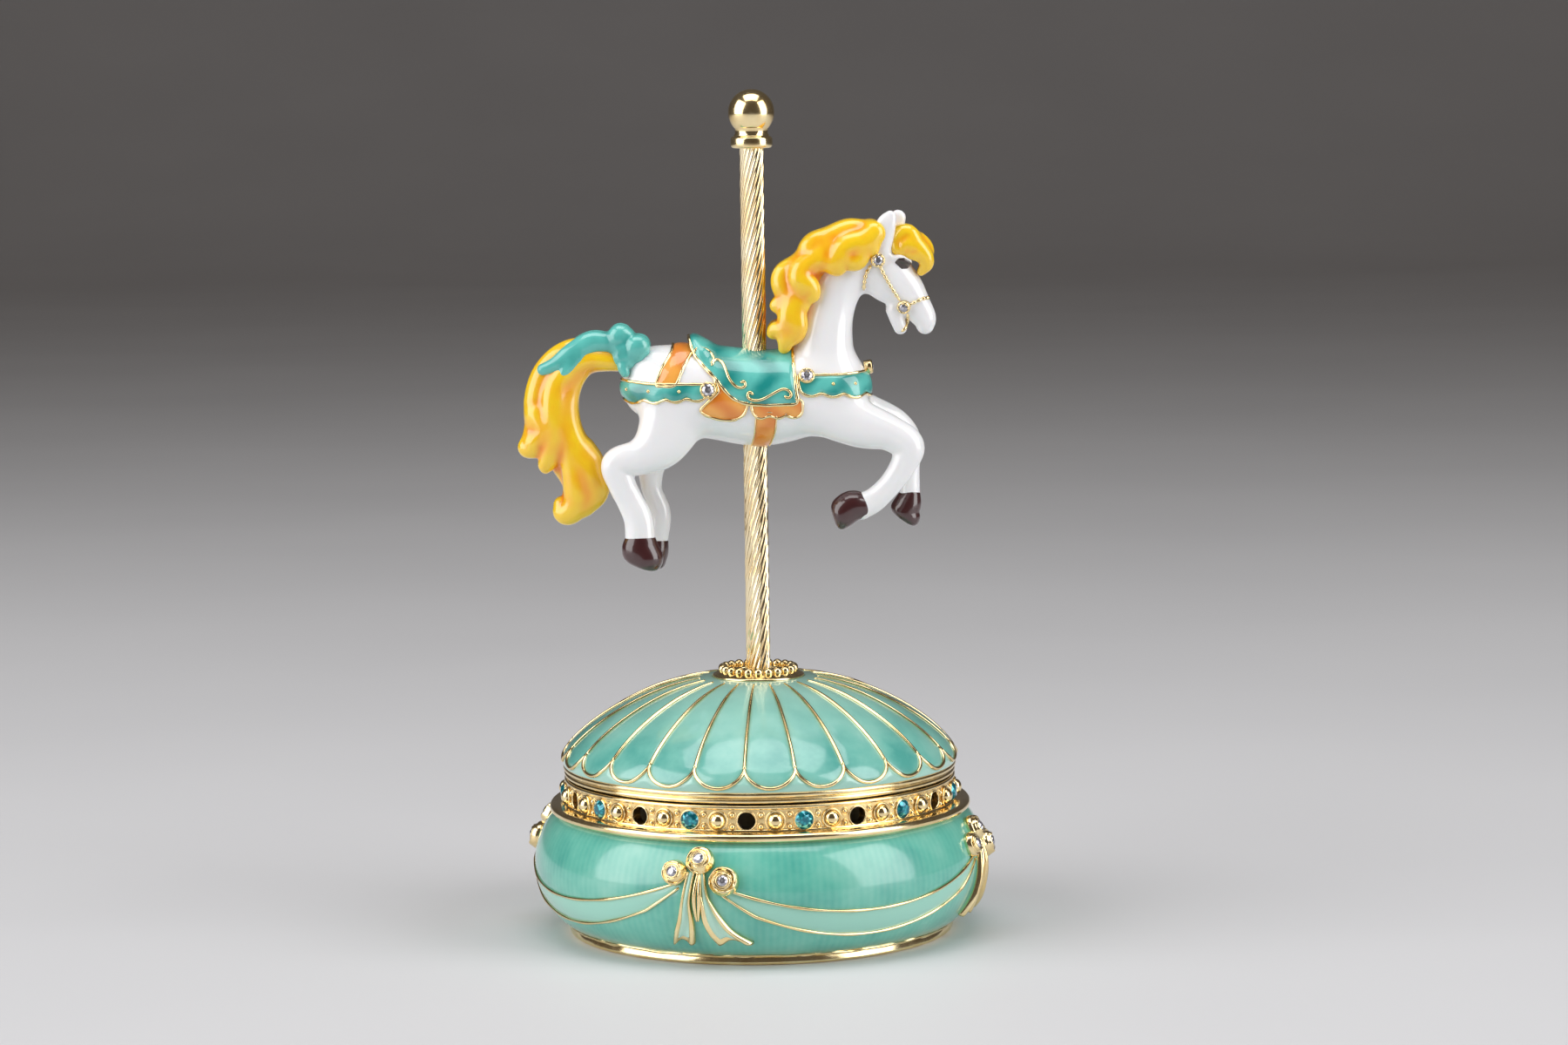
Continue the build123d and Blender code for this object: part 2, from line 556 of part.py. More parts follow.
def dome_solid():
    skin_r = [DOME_FLAT_R, 12.5, 18.0, 23.5, 28.5, 32.2, DOME_RIM_R - 0.1]
    skin = [(r, vault_height(r)) for r in skin_r]
    low = GALLERY_TOP + SEAM
    inner = [(r - DOME_WALL * k / 6, z - DOME_WALL * (1 - 0.5 * k / 6)) for k, (r, z) in enumerate(skin)]
    outer_line = Spline(*skin, tangents=[(1, 0), (0.1, -1)])
    inner_line = Spline(*inner, tangents=[(1, 0), (0.1, -1)])
    rim = [Polyline(skin[-1], (DOME_RIM_R, DOME_RIM_Z), (34.6, low), (inner[-1][0] - 0.3, low), inner[-1])]
    cap = Polyline(skin[0], (POLE_TAIL_R, DOME_TOP), (POLE_TAIL_R, DOME_TOP - DOME_WALL), inner[0])
    shell = revolve(Plane.XZ * make_face([outer_line, inner_line, cap] + rim), Axis.Z)
    boss_low, boss_high = BOSS_Z
    solid_cap = Polyline(skin[0], (0, DOME_TOP), (0, boss_low), (skin[-1][0], boss_low), skin[-1])
    filled = revolve(Plane.XZ * make_face([outer_line, solid_cap]), Axis.Z)
    for spot in DOME_BOSSES:
        x, y = at(spot)
        shell += (Pos(x, y, (boss_low + boss_high) / 2) * Cylinder(BOSS_R, boss_high - boss_low)) & filled
    for spot in DOME_BOSSES:
        x, y = at(spot)
        shell -= Pos(x, y, boss_low + BOSS_TAP / 2) * Cylinder(DRIVE_SCREW_R, BOSS_TAP)
    return shell


DRIVE_PLATE = (31.0, 29.4, 30.4)      # radius, underside, top
DRIVE_SCREW_R = 0.7
DRIVE_WINDOWS = (6, 15.5, 4.5)        # how many, how far out, radius
DOME_BOSSES = [(25.0, a) for a in (90, 210, 330)]
BOSS_R = 2.2
BOSS_Z = (DRIVE_PLATE[2], 40.0)       # the boss is cut off by the inside of the vault
BOSS_TAP = 4.0
HUB_R = 4.0
HUB_SPIGOT_R = 3.5
HUB_FLANGE_R = 4.2
HUB_Z = (23.45, 31.2)
keep("dome", dome_solid())
drive_plate = ring(DRIVE_PLATE[0], HUB_SPIGOT_R, *DRIVE_PLATE[1:])
drive_screws = []
for spot in DOME_BOSSES:
    x, y = at(spot)
    drive_screws.append(screw(x, y, 1.4, (28.7, DRIVE_PLATE[1]), DRIVE_SCREW_R, 34.0))
    drive_plate -= Pos(x, y, 30) * Cylinder(DRIVE_SCREW_R, 3)
windows, window_out, window_r = DRIVE_WINDOWS
for k in range(windows):
    drive_plate -= Rot(0, 0, 30 + 360 / windows * k) * Pos(window_out, 0, 30) * Cylinder(window_r, 3)
keep("drive_plate", drive_plate)
keep("drive_plate_screws", *drive_screws)
hub_low, hub_high = HUB_Z
keep("drive_hub", turned([(ARBOR_R, hub_low), (HUB_R, hub_low), (HUB_R, DRIVE_PLATE[1]),
                          (HUB_SPIGOT_R, DRIVE_PLATE[1]), (HUB_SPIGOT_R, DRIVE_PLATE[2]),
                          (HUB_FLANGE_R, DRIVE_PLATE[2]), (HUB_FLANGE_R, hub_high), (ARBOR_R, hub_high)]))

# ------------------------------------------------------------------ collar, pole and finial
collar = turned([(POLE_TAIL_R, DOME_TOP), (COLLAR_R, DOME_TOP), (COLLAR_R, 46.0), (7.7, 46.5),
                 (5.3, 46.5), (5.2, COLLAR_FLOOR), (POLE_TAIL_R, COLLAR_FLOOR)])
collar_bead = Pos(COLLAR_BEAD_RING_R, 0, 46.9) * Sphere(COLLAR_BEAD_R)
collar += [Rot(0, 0, 360 / COLLAR_BEADS * k) * collar_bead for k in range(COLLAR_BEADS)]
keep("pole_collar", collar)
pole = ring(POLE_R, 0, COLLAR_FLOOR, POLE_TOP) + ring(POLE_TAIL_R, 0, POLE_TAIL_END, COLLAR_FLOOR)
keep("pole", pole - ring(FINIAL_SPIGOT_R, 0, POLE_TOP - 3, POLE_TOP + 1))
nut = extrude(Plane.XY.offset(41.9) * RegularPolygon(3.2, 6), DOME_TOP - DOME_WALL - 41.9)
keep("pole_nut", nut - ring(POLE_TAIL_R, 0, 40, 46))
finial = turned([(0, POLE_TOP - 3), (FINIAL_SPIGOT_R, POLE_TOP - 3), (FINIAL_SPIGOT_R, POLE_TOP),
                 (3.0, POLE_TOP), (3.8, 140.1), (3.8, 141.2), (3.1, 141.9), (2.9, 142.6), (0, 144.5)])
finial += Pos(0, 0, TOTAL_HEIGHT - FINIAL_BALL_R) * Sphere(FINIAL_BALL_R)
keep("finial", finial)

# ------------------------------------------------------------------ the horse
# Each limb is a run of stations (x, y, z, half depth, half width); the sections stand square to the run.
BARREL = ((-22.8, 0, 98.4, 2.6, 2.4), (-19.5, 0, 97.2, 6.2, 5.4), (-12.5, 0, 96.9, 7.6, 7.4),
          (-2.5, 0, 94.8, 7.9, 7.9), (6.0, 0, 95.5, 7.7, 7.6), (13.5, 0, 96.2, 7.9, 6.8),
          (18.4, 0, 96.4, 6.2, 5.2), (20.7, 0, 96.8, 3.0, 2.6))
NECK = ((12.2, 0, 98.5, 6.8, 5.4), (13.2, 0, 104.5, 5.0, 4.3), (14.1, 0, 111.0, 4.2, 3.6),
        (15.4, 0, 116.6, 4.4, 3.3), (18.6, 0, 120.4, 3.9, 3.0))
HEAD = ((20.6, 0, 121.0, 3.2, 2.6), (23.2, 0, 118.6, 4.6, 3.2), (26.2, 0, 115.6, 3.9, 2.9),
        (28.6, 0, 111.8, 2.7, 2.1), (30.4, 0, 108.6, 2.2, 1.9), (31.2, 0, 106.9, 1.2, 1.2))
JAW = ((26.6, 0, 112.6, 1.6, 1.6), (26.3, 0, 109.4, 1.2, 1.3), (25.9, 0, 107.3, 0.7, 0.9))
EAR = ((24.4, 1.8, 122.0, 1.5, 1.0), (25.4, 2.0, 125.6, 1.4, 0.9), (26.0, 2.1, 128.2, 0.5, 0.5))
LEGS = {
    "near_fore": ((13.5, -3.8, 93.5, 5.2, 3.4), (19.0, -4.2, 91.0, 4.4, 3.0), (24.2, -4.4, 89.7, 3.5, 2.6),
                  (27.2, -4.5, 86.6, 3.0, 2.4), (25.7, -4.5, 82.4, 2.4, 2.1), (22.9, -4.5, 78.8, 2.2, 1.9),
                  (19.4, -4.5, 76.2, 2.1, 1.9)),
    "far_fore": ((13.5, 3.8, 93.5, 5.2, 3.4), (20.0, 4.2, 91.6, 4.2, 3.0), (25.8, 4.4, 89.3, 3.2, 2.5),
                 (28.6, 4.5, 85.6, 2.5, 2.2), (28.0, 4.5, 81.4, 1.9, 1.8), (27.0, 4.5, 77.8, 1.8, 1.8)),
    "near_hind": ((-13.5, -3.8, 94.5, 6.4, 3.6), (-17.0, -4.3, 89.6, 5.4, 3.2), (-21.2, -4.5, 86.4, 3.9, 2.6),
                  (-25.0, -4.5, 83.6, 2.7, 2.2), (-24.0, -4.5, 79.2, 2.2, 1.9), (-22.0, -4.5, 74.4, 2.2, 1.9),
                  (-21.2, -4.5, 71.2, 2.6, 2.2)),
    "far_hind": ((-13.5, 3.8, 94.5, 6.4, 3.6), (-16.4, 4.3, 89.4, 5.0, 3.2), (-18.4, 4.5, 85.0, 3.2, 2.6),
                 (-20.0, 4.5, 81.0, 2.2, 2.0), (-18.4, 4.5, 76.0, 1.9, 1.8), (-17.2, 4.5, 71.4, 1.9, 1.8)),
}
HOOVES = (((19.6, -4.5, 76.0, 2.2, 2.0), (16.4, -4.5, 76.2, 2.9, 2.4), (14.0, -4.5, 76.2, 2.4, 2.3)),
          ((27.0, 4.5, 78.0, 2.0, 1.9), (27.2, 4.5, 74.8, 2.7, 2.4), (27.8, 4.5, 72.4, 2.0, 2.2)),
          ((-21.4, -4.5, 71.4, 2.6, 2.2), (-21.0, -4.5, 68.6, 3.4, 2.7), (-20.4, -4.5, 66.0, 2.4, 2.5)),
          ((-17.4, 4.5, 71.0, 2.1, 1.9), (-18.2, 4.5, 67.8, 2.9, 2.5), (-19.0, 4.5, 65.0, 1.9, 2.2)))
TAIL = ((-20.6, 0, 101.6, 1.7, 1.7), (-24.5, 0, 103.4, 2.5, 2.3), (-30.0, 0, 103.8, 2.9, 2.6),
        (-34.6, 0, 100.6, 3.5, 3.0), (-36.8, 0, 95.0, 4.0, 3.3), (-37.0, 0, 89.0, 4.6, 3.4),
        (-34.4, 0, 83.6, 4.6, 3.3), (-31.4, 0, 79.2, 4.0, 3.0), (-31.6, 0, 75.2, 3.0, 2.4),
        (-34.0, 0, 72.9, 1.6, 1.5))
TAIL_CURLS = ((-39.6, 0, 86.4, 2.6), (-37.6, 0, 81.8, 2.2), (-29.4, 0, 83.2, 2.6))
MANE = ((5.9, 0, 105.6, 2.1), (7.2, 0, 109.8, 2.7), (7.9, 0, 114.0, 2.9), (10.4, 0, 118.4, 3.1),
        (14.2, 0, 121.6, 3.3), (18.8, 0, 122.6, 3.4), (22.2, 0, 122.6, 2.6), (27.8, 0, 121.4, 2.6),
        (30.2, 0, 118.6, 1.7))
HORSE_STONES = ((21.9, 119.6, 2.3, 3.6, 1.1), (26.4, 111.4, 1.9, 3.3, 1.0),
                (9.3, 99.5, 5.4, 8.2, 1.2), (-8.2, 97.4, 6.6, 8.4, 1.2))  # x, z, inner, outer, radius


def limb(stations):
    """A smooth body through elliptical sections that stand square to the run of their centres."""
    sections = []
    for k, (x, y, z, depth, width) in enumerate(stations):
        before = stations[max(k - 1, 0)]
        after = stations[min(k + 1, len(stations) - 1)]
        along = Vector(after[0] - before[0], after[1] - before[1], after[2] - before[2])
        across = Vector(0, 1, 0) - along * (along.Y / along.length ** 2)
        plane = Plane(origin=(x, y, z), x_dir=across, z_dir=along)
        sections.append(plane * Ellipse(width, depth))
    return loft(sections)


horse = limb(BARREL)
for piece in [NECK, HEAD, JAW, EAR] + list(LEGS.values()) + list(HOOVES):
    horse += limb(piece)
horse += mirror(limb(EAR), Plane.XZ)
horse += Pos(19.6, 0, 120.4) * Sphere(3.4)
horse -= ring(POLE_R, 0, 70, 130)
stones = []
for x, z, inner, outer, r in HORSE_STONES:
    for side in (-1, 1):
        stones.append(Pos(x, side * (inner + outer) / 2, z) * Rot(90, 0, 0) * Cylinder(r, outer - inner))
mane = Part() + [Pos(x, y, z) * Sphere(r) for x, y, z, r in MANE]
tail = limb(TAIL) + [Pos(x, y, z) * Sphere(r) for x, y, z, r in TAIL_CURLS]
mane -= horse
tail -= horse
for gem in stones:
    horse -= gem
    mane -= gem
keep("horse_body", horse)
keep("horse_mane", mane)
keep("horse_tail", tail)
keep("horse_stones", *stones)

print(len(made), "nodes")
for name, group in made.items():
    print(name, len(group), round(sum(s.volume for s in group), 1))
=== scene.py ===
# %% [markdown]
# # A carousel music box in Blender
# We dress a finished mechanical model: an enamelled bowl and dome, a gilt gallery, a twisted pole and
# a little jumper horse.  The mechanical model fixes every size, so the first cell loads it, and every
# later cell asks it where things are.

# %% Load the frame
import json
import math
import bmesh
import bpy
import numpy as np
from mathutils import Euler, Matrix, Vector


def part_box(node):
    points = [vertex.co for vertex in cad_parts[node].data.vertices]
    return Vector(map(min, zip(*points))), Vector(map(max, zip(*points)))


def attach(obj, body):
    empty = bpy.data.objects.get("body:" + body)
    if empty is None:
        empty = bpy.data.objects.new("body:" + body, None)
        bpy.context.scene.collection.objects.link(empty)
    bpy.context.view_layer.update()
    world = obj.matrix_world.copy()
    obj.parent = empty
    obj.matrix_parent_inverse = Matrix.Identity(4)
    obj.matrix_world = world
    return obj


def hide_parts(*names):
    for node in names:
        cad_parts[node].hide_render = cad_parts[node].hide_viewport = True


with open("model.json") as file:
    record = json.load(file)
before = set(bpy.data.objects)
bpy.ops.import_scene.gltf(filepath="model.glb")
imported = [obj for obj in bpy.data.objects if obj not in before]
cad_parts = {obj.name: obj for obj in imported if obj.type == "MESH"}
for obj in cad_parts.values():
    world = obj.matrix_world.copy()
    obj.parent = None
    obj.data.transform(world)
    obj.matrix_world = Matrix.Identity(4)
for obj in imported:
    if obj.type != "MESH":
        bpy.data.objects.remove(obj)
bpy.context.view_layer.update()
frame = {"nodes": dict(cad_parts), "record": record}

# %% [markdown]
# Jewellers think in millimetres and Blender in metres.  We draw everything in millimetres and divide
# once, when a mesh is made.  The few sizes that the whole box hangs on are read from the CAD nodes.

MM = 0.001
TAU = 2 * math.pi


def reach(node):
    """Lowest and highest corner of a CAD node, in millimetres."""
    low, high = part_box(node)
    return np.array(low) / MM, np.array(high) / MM


wall_widest = float(reach("bowl")[1][0])
rim_z = float(reach("bowl")[1][2])
gallery_top = float(reach("gallery_ring")[1][2])
dome_low = float(reach("dome")[0][2])
dome_top = float(reach("dome")[1][2])
dome_widest = float(reach("dome")[1][0])
pole_low = float(reach("pole_collar")[0][2]) + 0.5
pole_top = float(reach("finial")[1][2]) - 10.4
print("bowl", round(wall_widest, 2), "rim", rim_z, "dome", dome_low, dome_top, dome_widest)

# %% [markdown]
# Almost every piece here is a grid of points: a turned profile, a bent wire, a pressed sheet.  So the
# basic tool is a plain pair, points and faces, that numpy can copy, turn and weld cheaply.  A Blender
# object is only made when the piece is complete.


# %% Points and faces
def grid_faces(rows, cols, wrap_rows=False, wrap_cols=False):
    """Quads over a grid of points stored row by row."""
    r = np.arange(rows if wrap_rows else rows - 1)
    c = np.arange(cols if wrap_cols else cols - 1)
    R, C = np.meshgrid(r, c, indexing="ij")
    right, down = (C + 1) % cols, (R + 1) % rows
    quads = np.stack([R * cols + C, R * cols + right, down * cols + right, down * cols + C], -1)
    return quads.reshape(-1, 4)


def weld(shapes):
    """Several point-and-face pairs as one."""
    points, faces, start = [], [], 0
    for p, f in shapes:
        points.append(np.asarray(p, float))
        faces.extend([[int(i) + start for i in face] for face in f])
        start += len(p)
    return np.vstack(points), faces


def turned(profile, steps=256):
    """A closed profile of (radius, height) points, turned about the pole's axis."""
    profile = np.asarray(profile, float)
    a = np.arange(steps) * TAU / steps
    r, z = profile[:, 0][:, None], profile[:, 1][:, None]
    points = np.stack([r * np.sin(a), -r * np.cos(a), z + 0 * a], -1).reshape(-1, 3)
    return points, grid_faces(len(profile), steps, True, True)[:, ::-1]


def set_at(shape, origin, outward, up=(0, 0, 1)):
    """A shape made about the origin, facing +Z, set down at a place and facing outward."""
    z = np.asarray(outward, float) / np.linalg.norm(outward)
    x = np.cross(np.asarray(up, float), z)
    x /= np.linalg.norm(x)
    y = np.cross(z, x)
    p = np.asarray(shape[0], float)
    return p[:, :1] * x + p[:, 1:2] * y + p[:, 2:] * z + np.asarray(origin, float), shape[1]


# %% [markdown]
# Gilt wire is the second basic shape.  A wire is a tube that follows a path; its cross-section must
# not twist as the path bends, so each section is carried on from the one before it.


# %% Wires, beads and cut stones
def wire(path, radius, sides=8, closed=False, lean=None):
    """A tube along a path of points; lean, one direction per point, keeps a tube on a surface straight."""
    path = np.asarray(path, float)
    n = len(path)
    radii = np.broadcast_to(np.asarray(radius, float), (n,)).copy()
    if closed:
        along = np.roll(path, -1, 0) - np.roll(path, 1, 0)
    else:
        along = np.gradient(path, axis=0)
    along /= np.linalg.norm(along, axis=1)[:, None]
    side = np.cross(along[0], [0.31, 0.2, 0.93])
    side /= np.linalg.norm(side)
    frames = []
    for k in range(n):
        side = side if lean is None else lean[k]
        side = side - along[k] * side.dot(along[k])
        side /= np.linalg.norm(side)
        frames.append((side, np.cross(along[k], side)))
    a = np.arange(sides) * TAU / sides
    rings = [path[k] + radii[k] * (np.cos(a)[:, None] * frames[k][0] + np.sin(a)[:, None] * frames[k][1])
             for k in range(n)]
    points = np.vstack(rings)
    faces = grid_faces(n, sides, closed, True).tolist()
    if not closed:
        tips = [path[0] - along[0] * radii[0] * 0.6, path[-1] + along[-1] * radii[-1] * 0.6]
        points = np.vstack([points, tips])
        first, last = n * sides, n * sides + 1
        for k in range(sides):
            faces.append([first, (k + 1) % sides, k])
            faces.append([last, (n - 1) * sides + k, (n - 1) * sides + (k + 1) % sides])
    return points, faces


def bead(radius, rings=8, sides=14, squat=1.0, whole=False):
    """A round bead, or its outer half, standing on the plane z = 0."""
    low = -math.pi / 2 if whole else -0.35
    t = np.linspace(low, math.pi / 2, rings + 1)[:-1]
    a = np.arange(sides) * TAU / sides
    body = np.stack([np.outer(np.cos(t), np.cos(a)), np.outer(np.cos(t), np.sin(a)),
                     np.outer(np.sin(t) * squat, np.ones(sides))], -1).reshape(-1, 3) * radius
    points = np.vstack([body, [[0, 0, radius * squat]]])
    faces = grid_faces(rings, sides, False, True).tolist()
    top = rings * sides
    faces += [[top - sides + k, top - sides + (k + 1) % sides, top] for k in range(sides)]
    faces.append(list(range(sides))[::-1])
    return points, faces


def cut_stone(radius, sides=8):
    """A round brilliant: a flat table, a crown of kites and a shallow skirt, on the plane z = 0."""
    a = np.arange(2 * sides) * TAU / (2 * sides)
    def band(r, z, every):
        pick = a[::2] if every == 2 else a
        return [(r * radius * math.cos(t), r * radius * math.sin(t), z * radius) for t in pick]
    skirt = band(0.9, -0.35, 1)
    girdle = band(1.0, 0.08, 1)
    half_step = TAU / (4 * sides)
    mid = [(0.78 * radius * math.cos(t + half_step), 0.78 * radius * math.sin(t + half_step), 0.30 * radius)
           for t in a[::2]]
    table = band(0.52, 0.44, 2)
    points = np.array(skirt + girdle + mid + table)
    n, g, m, t = 2 * sides, 2 * sides, 4 * sides, 5 * sides
    faces = grid_faces(2, n, False, True).tolist()
    for k in range(sides):
        left, mid_k, right = g + 2 * k, g + 2 * k + 1, g + (2 * k + 2) % n
        nxt = (k + 1) % sides
        faces += [[left, mid_k, m + k], [mid_k, right, m + k], [left, m + k, t + k],
                  [m + k, right, t + nxt], [m + k, t + nxt, t + k]]
    faces.append([t + k for k in range(sides)])
    faces.append(list(range(n))[::-1])
    return points, faces


print("a stone has", len(cut_stone(1.0)[1]), "faces")

# %% [markdown]
# One function turns a shape into a Blender object, gives it a finish, says which moving body carries
# it and which CAD nodes it stands for.  Soft shading is switched off only for cut stones.


def faced_outward(mesh):
    """Turn every face of each closed shell outward."""
    work = bmesh.new()
    work.from_mesh(mesh)
    bmesh.ops.recalc_face_normals(work, faces=work.faces)
    work.to_mesh(mesh)
    work.free()


def piece(name, shape, finish, body, nodes=(), smooth=True, sharp=None, tone=None):
    """A Blender object from a shape in millimetres, with its finish, body and CAD nodes."""
    points, faces = shape
    mesh = bpy.data.meshes.new(name)
    mesh.from_pydata((np.asarray(points, float) * MM).tolist(), [], [list(map(int, f)) for f in faces])
    faced_outward(mesh)
    if tone is not None:
        layer = mesh.attributes.new("tone", "FLOAT", "POINT")
        layer.data.foreach_set("value", np.asarray(tone, np.float32))
    mesh.polygons.foreach_set("use_smooth", [smooth] * len(mesh.polygons))
    if sharp is not None:
        mesh.set_sharp_from_angle(angle=math.radians(sharp))
    mesh.materials.append(finish)
    obj = bpy.data.objects.new(name, mesh)
    bpy.context.scene.collection.objects.link(obj)
    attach(obj, body)
    if nodes:
        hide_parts(*nodes)
    print(name, len(mesh.vertices), "points")
    return obj

# %% [markdown]
# ## Finishes
# A finish is a small node tree.  Constant numbers go straight on the shader's own sockets.  Patterns
# are worked out from the object's own coordinates, so they stay put when the piece turns.


# %% Small helpers for node trees
def new_finish(name, **sockets):
    """A material with one Principled shader; the keywords set that shader's sockets."""
    finish = bpy.data.materials.new(name)
    finish.use_nodes = True
    shader = finish.node_tree.nodes["Principled BSDF"]
    for key, value in sockets.items():
        shader.inputs[key.replace("_", " ")].default_value = value
    return finish, finish.node_tree, shader


def node(tree, kind, **values):
    """A node, with its properties set and its inputs filled or linked."""
    made_node = tree.nodes.new(kind)
    for key, value in values.items():
        if hasattr(made_node, key):
            setattr(made_node, key, value)
            continue
        socket = made_node.inputs[int(key[2:])] if key.startswith("in") else made_node.inputs[key]
        if isinstance(value, bpy.types.NodeSocket):
            tree.links.new(value, socket)
        else:
            socket.default_value = value
    return made_node


def own_place(tree):
    """The object's own coordinates, in metres."""
    return tree.nodes.new("ShaderNodeTexCoord").outputs["Object"]


def noise(tree, scale, detail=3.0, where=None, rough=0.5):
    """Cloudy noise, 0 to 1."""
    made_node = node(tree, "ShaderNodeTexNoise", Scale=scale, Detail=detail, Roughness=rough)
    tree.links.new(where or own_place(tree), made_node.inputs["Vector"])
    return made_node.outputs["Fac"]


def ramp(tree, value, stops):
    """Colours along a value: stops are (position, (r, g, b))."""
    made_node = node(tree, "ShaderNodeValToRGB")
    made_node.color_ramp.elements[0].position = stops[0][0]
    made_node.color_ramp.elements[0].color = (*stops[0][1], 1)
    made_node.color_ramp.elements[1].position = stops[-1][0]
    made_node.color_ramp.elements[1].color = (*stops[-1][1], 1)
    for place, colour in stops[1:-1]:
        made_node.color_ramp.elements.new(place).color = (*colour, 1)
    tree.links.new(value, made_node.inputs["Fac"])
    return made_node.outputs["Color"]


def bumped(tree, shader, height, strength, distance):
    """Relief from a height value."""
    made_node = node(tree, "ShaderNodeBump", Strength=strength, Distance=distance, Height=height)
    tree.links.new(made_node.outputs["Normal"], shader.inputs["Normal"])
    return made_node


def blended(tree, amount, first, second):
    """Mix two colours by an amount."""
    made_node = node(tree, "ShaderNodeMix", data_type="RGBA")
    tree.links.new(amount, made_node.inputs[0])
    for socket, value in ((made_node.inputs[6], first), (made_node.inputs[7], second)):
        if isinstance(value, bpy.types.NodeSocket):
            tree.links.new(value, socket)
        else:
            socket.default_value = (*value, 1)
    return made_node.outputs[2]


def reckon(tree, sort, first, second=0.0, clamp=False):
    """One step of arithmetic."""
    made_node = node(tree, "ShaderNodeMath", operation=sort, use_clamp=clamp)
    for socket, value in ((made_node.inputs[0], first), (made_node.inputs[1], second)):
        if isinstance(value, bpy.types.NodeSocket):
            tree.links.new(value, socket)
        else:
            socket.default_value = value
    return made_node.outputs[0]

# %% [markdown]
# Gilding is a thin layer of pale gold on a polished casting.  It is a mirror, so it needs three things
# to look right: a warm reflecting colour, a trace of unevenness left from casting, and slightly duller,
# redder metal where the polishing wheel could not reach.


# %% Gold plate
def gold_finish(name, rough=0.14, grain=0.2, grain_scale=700, colour=(1.0, 0.83, 0.48)):
    finish, tree, shader = new_finish(name, Metallic=1.0)
    mottle = noise(tree, 260, 4)
    deep = tuple(c * k for c, k in zip(colour, (0.90, 0.80, 0.66)))
    tree.links.new(ramp(tree, mottle, [(0.30, deep), (0.62, colour)]), shader.inputs["Base Color"])
    dull = noise(tree, 700, 3)
    rough_map = node(tree, "ShaderNodeMapRange", Value=dull)
    rough_map.inputs["To Min"].default_value = rough * 0.6
    rough_map.inputs["To Max"].default_value = rough * 1.7
    tree.links.new(rough_map.outputs["Result"], shader.inputs["Roughness"])
    bumped(tree, shader, noise(tree, grain_scale, 4), grain, 0.00006)
    return finish


gold = gold_finish("gilt")
gold_ground = gold_finish("gilt ground", rough=0.22, grain=0.6, grain_scale=1100, colour=(0.98, 0.76, 0.38))
gold_pole = gold_finish("gilt pole", rough=0.13, grain=0.25, grain_scale=1300, colour=(1.0, 0.86, 0.58))
print("three kinds of gilding")

# %% [markdown]
# Fired enamel is glass over metal.  Its colour comes from below a clear, glossy surface, and it pools:
# where it lies thick the colour is deep, over a ridge it is thin and pale.  A clear coat gives the
# gloss; the tone attribute, measured on each mesh, gives thick and thin.  On the mane, tail and sash
# the deep colour in the grooves is also painted shade.


# %% Enamels
def enamel_finish(name, thin, thick, clouds=0.35, cloud_scale=160, gloss=0.06, glow=0.0):
    """Enamel whose colour runs from thin to thick with the mesh's tone attribute and some clouds."""
    finish, tree, shader = new_finish(name, Roughness=0.28)
    shader.inputs["Coat Weight"].default_value = 1.0
    shader.inputs["Coat Roughness"].default_value = gloss
    shader.inputs["Coat IOR"].default_value = 1.55
    if glow:
        shader.inputs["Subsurface Weight"].default_value = glow
        shader.inputs["Subsurface Radius"].default_value = (0.9, 0.6, 0.4)
        shader.inputs["Subsurface Scale"].default_value = 0.0008
    tone = node(tree, "ShaderNodeAttribute", attribute_name="tone").outputs["Fac"]
    cloudy = reckon(tree, "MULTIPLY", reckon(tree, "SUBTRACT", noise(tree, cloud_scale, 4), 0.5), clouds * 2)
    amount = reckon(tree, "ADD", tone, cloudy, clamp=True)
    tree.links.new(blended(tree, amount, thin, thick), shader.inputs["Base Color"])
    bumped(tree, shader, noise(tree, 120, 2), 0.12, 0.0002)
    return finish


white_enamel = enamel_finish("white enamel", (0.93, 0.93, 0.95), (0.97, 0.97, 0.97), 0.3, 90, glow=0.15)
# The deep colour of honey and teal enamel is also painted shade in the grooves of the mane, tail and sash.
yellow_enamel = enamel_finish("honey enamel", (1.0, 0.64, 0.012), (0.96, 0.27, 0.0), 0.45, 200, glow=0.1)
orange_enamel = enamel_finish("apricot enamel", (0.95, 0.42, 0.07), (0.78, 0.22, 0.015), 0.45, 300)
teal_enamel = enamel_finish("teal enamel", (0.12, 0.56, 0.50), (0.008, 0.27, 0.25), 0.6, 260)
mint_enamel = enamel_finish("mint enamel", (0.50, 0.80, 0.66), (0.36, 0.70, 0.58), 0.4, 260)
hoof_enamel = enamel_finish("hoof enamel", (0.05, 0.010, 0.011), (0.008, 0.002, 0.003), 0.6, 260, gloss=0.02)
eye_enamel = enamel_finish("eye enamel", (0.03, 0.012, 0.008), (0.006, 0.004, 0.004), 0.3, 900, gloss=0.02)
print("enamels mixed")

# %% [markdown]
# Translucent enamel is often fired over engine-turned metal.  The fine upright lines on this bowl show
# through the glaze as faint lighter and darker stripes, so they belong to the colour, with only a
# whisper of relief.  The angle round the bowl, taken from the object's coordinates, drives them.


# %% The bowl's and the dome's glazes
def angle_round(tree):
    """The angle round the box, in radians, from the object's coordinates."""
    split = node(tree, "ShaderNodeSeparateXYZ", Vector=own_place(tree))
    return reckon(tree, "ARCTAN2", split.outputs["X"], split.outputs["Y"]), split


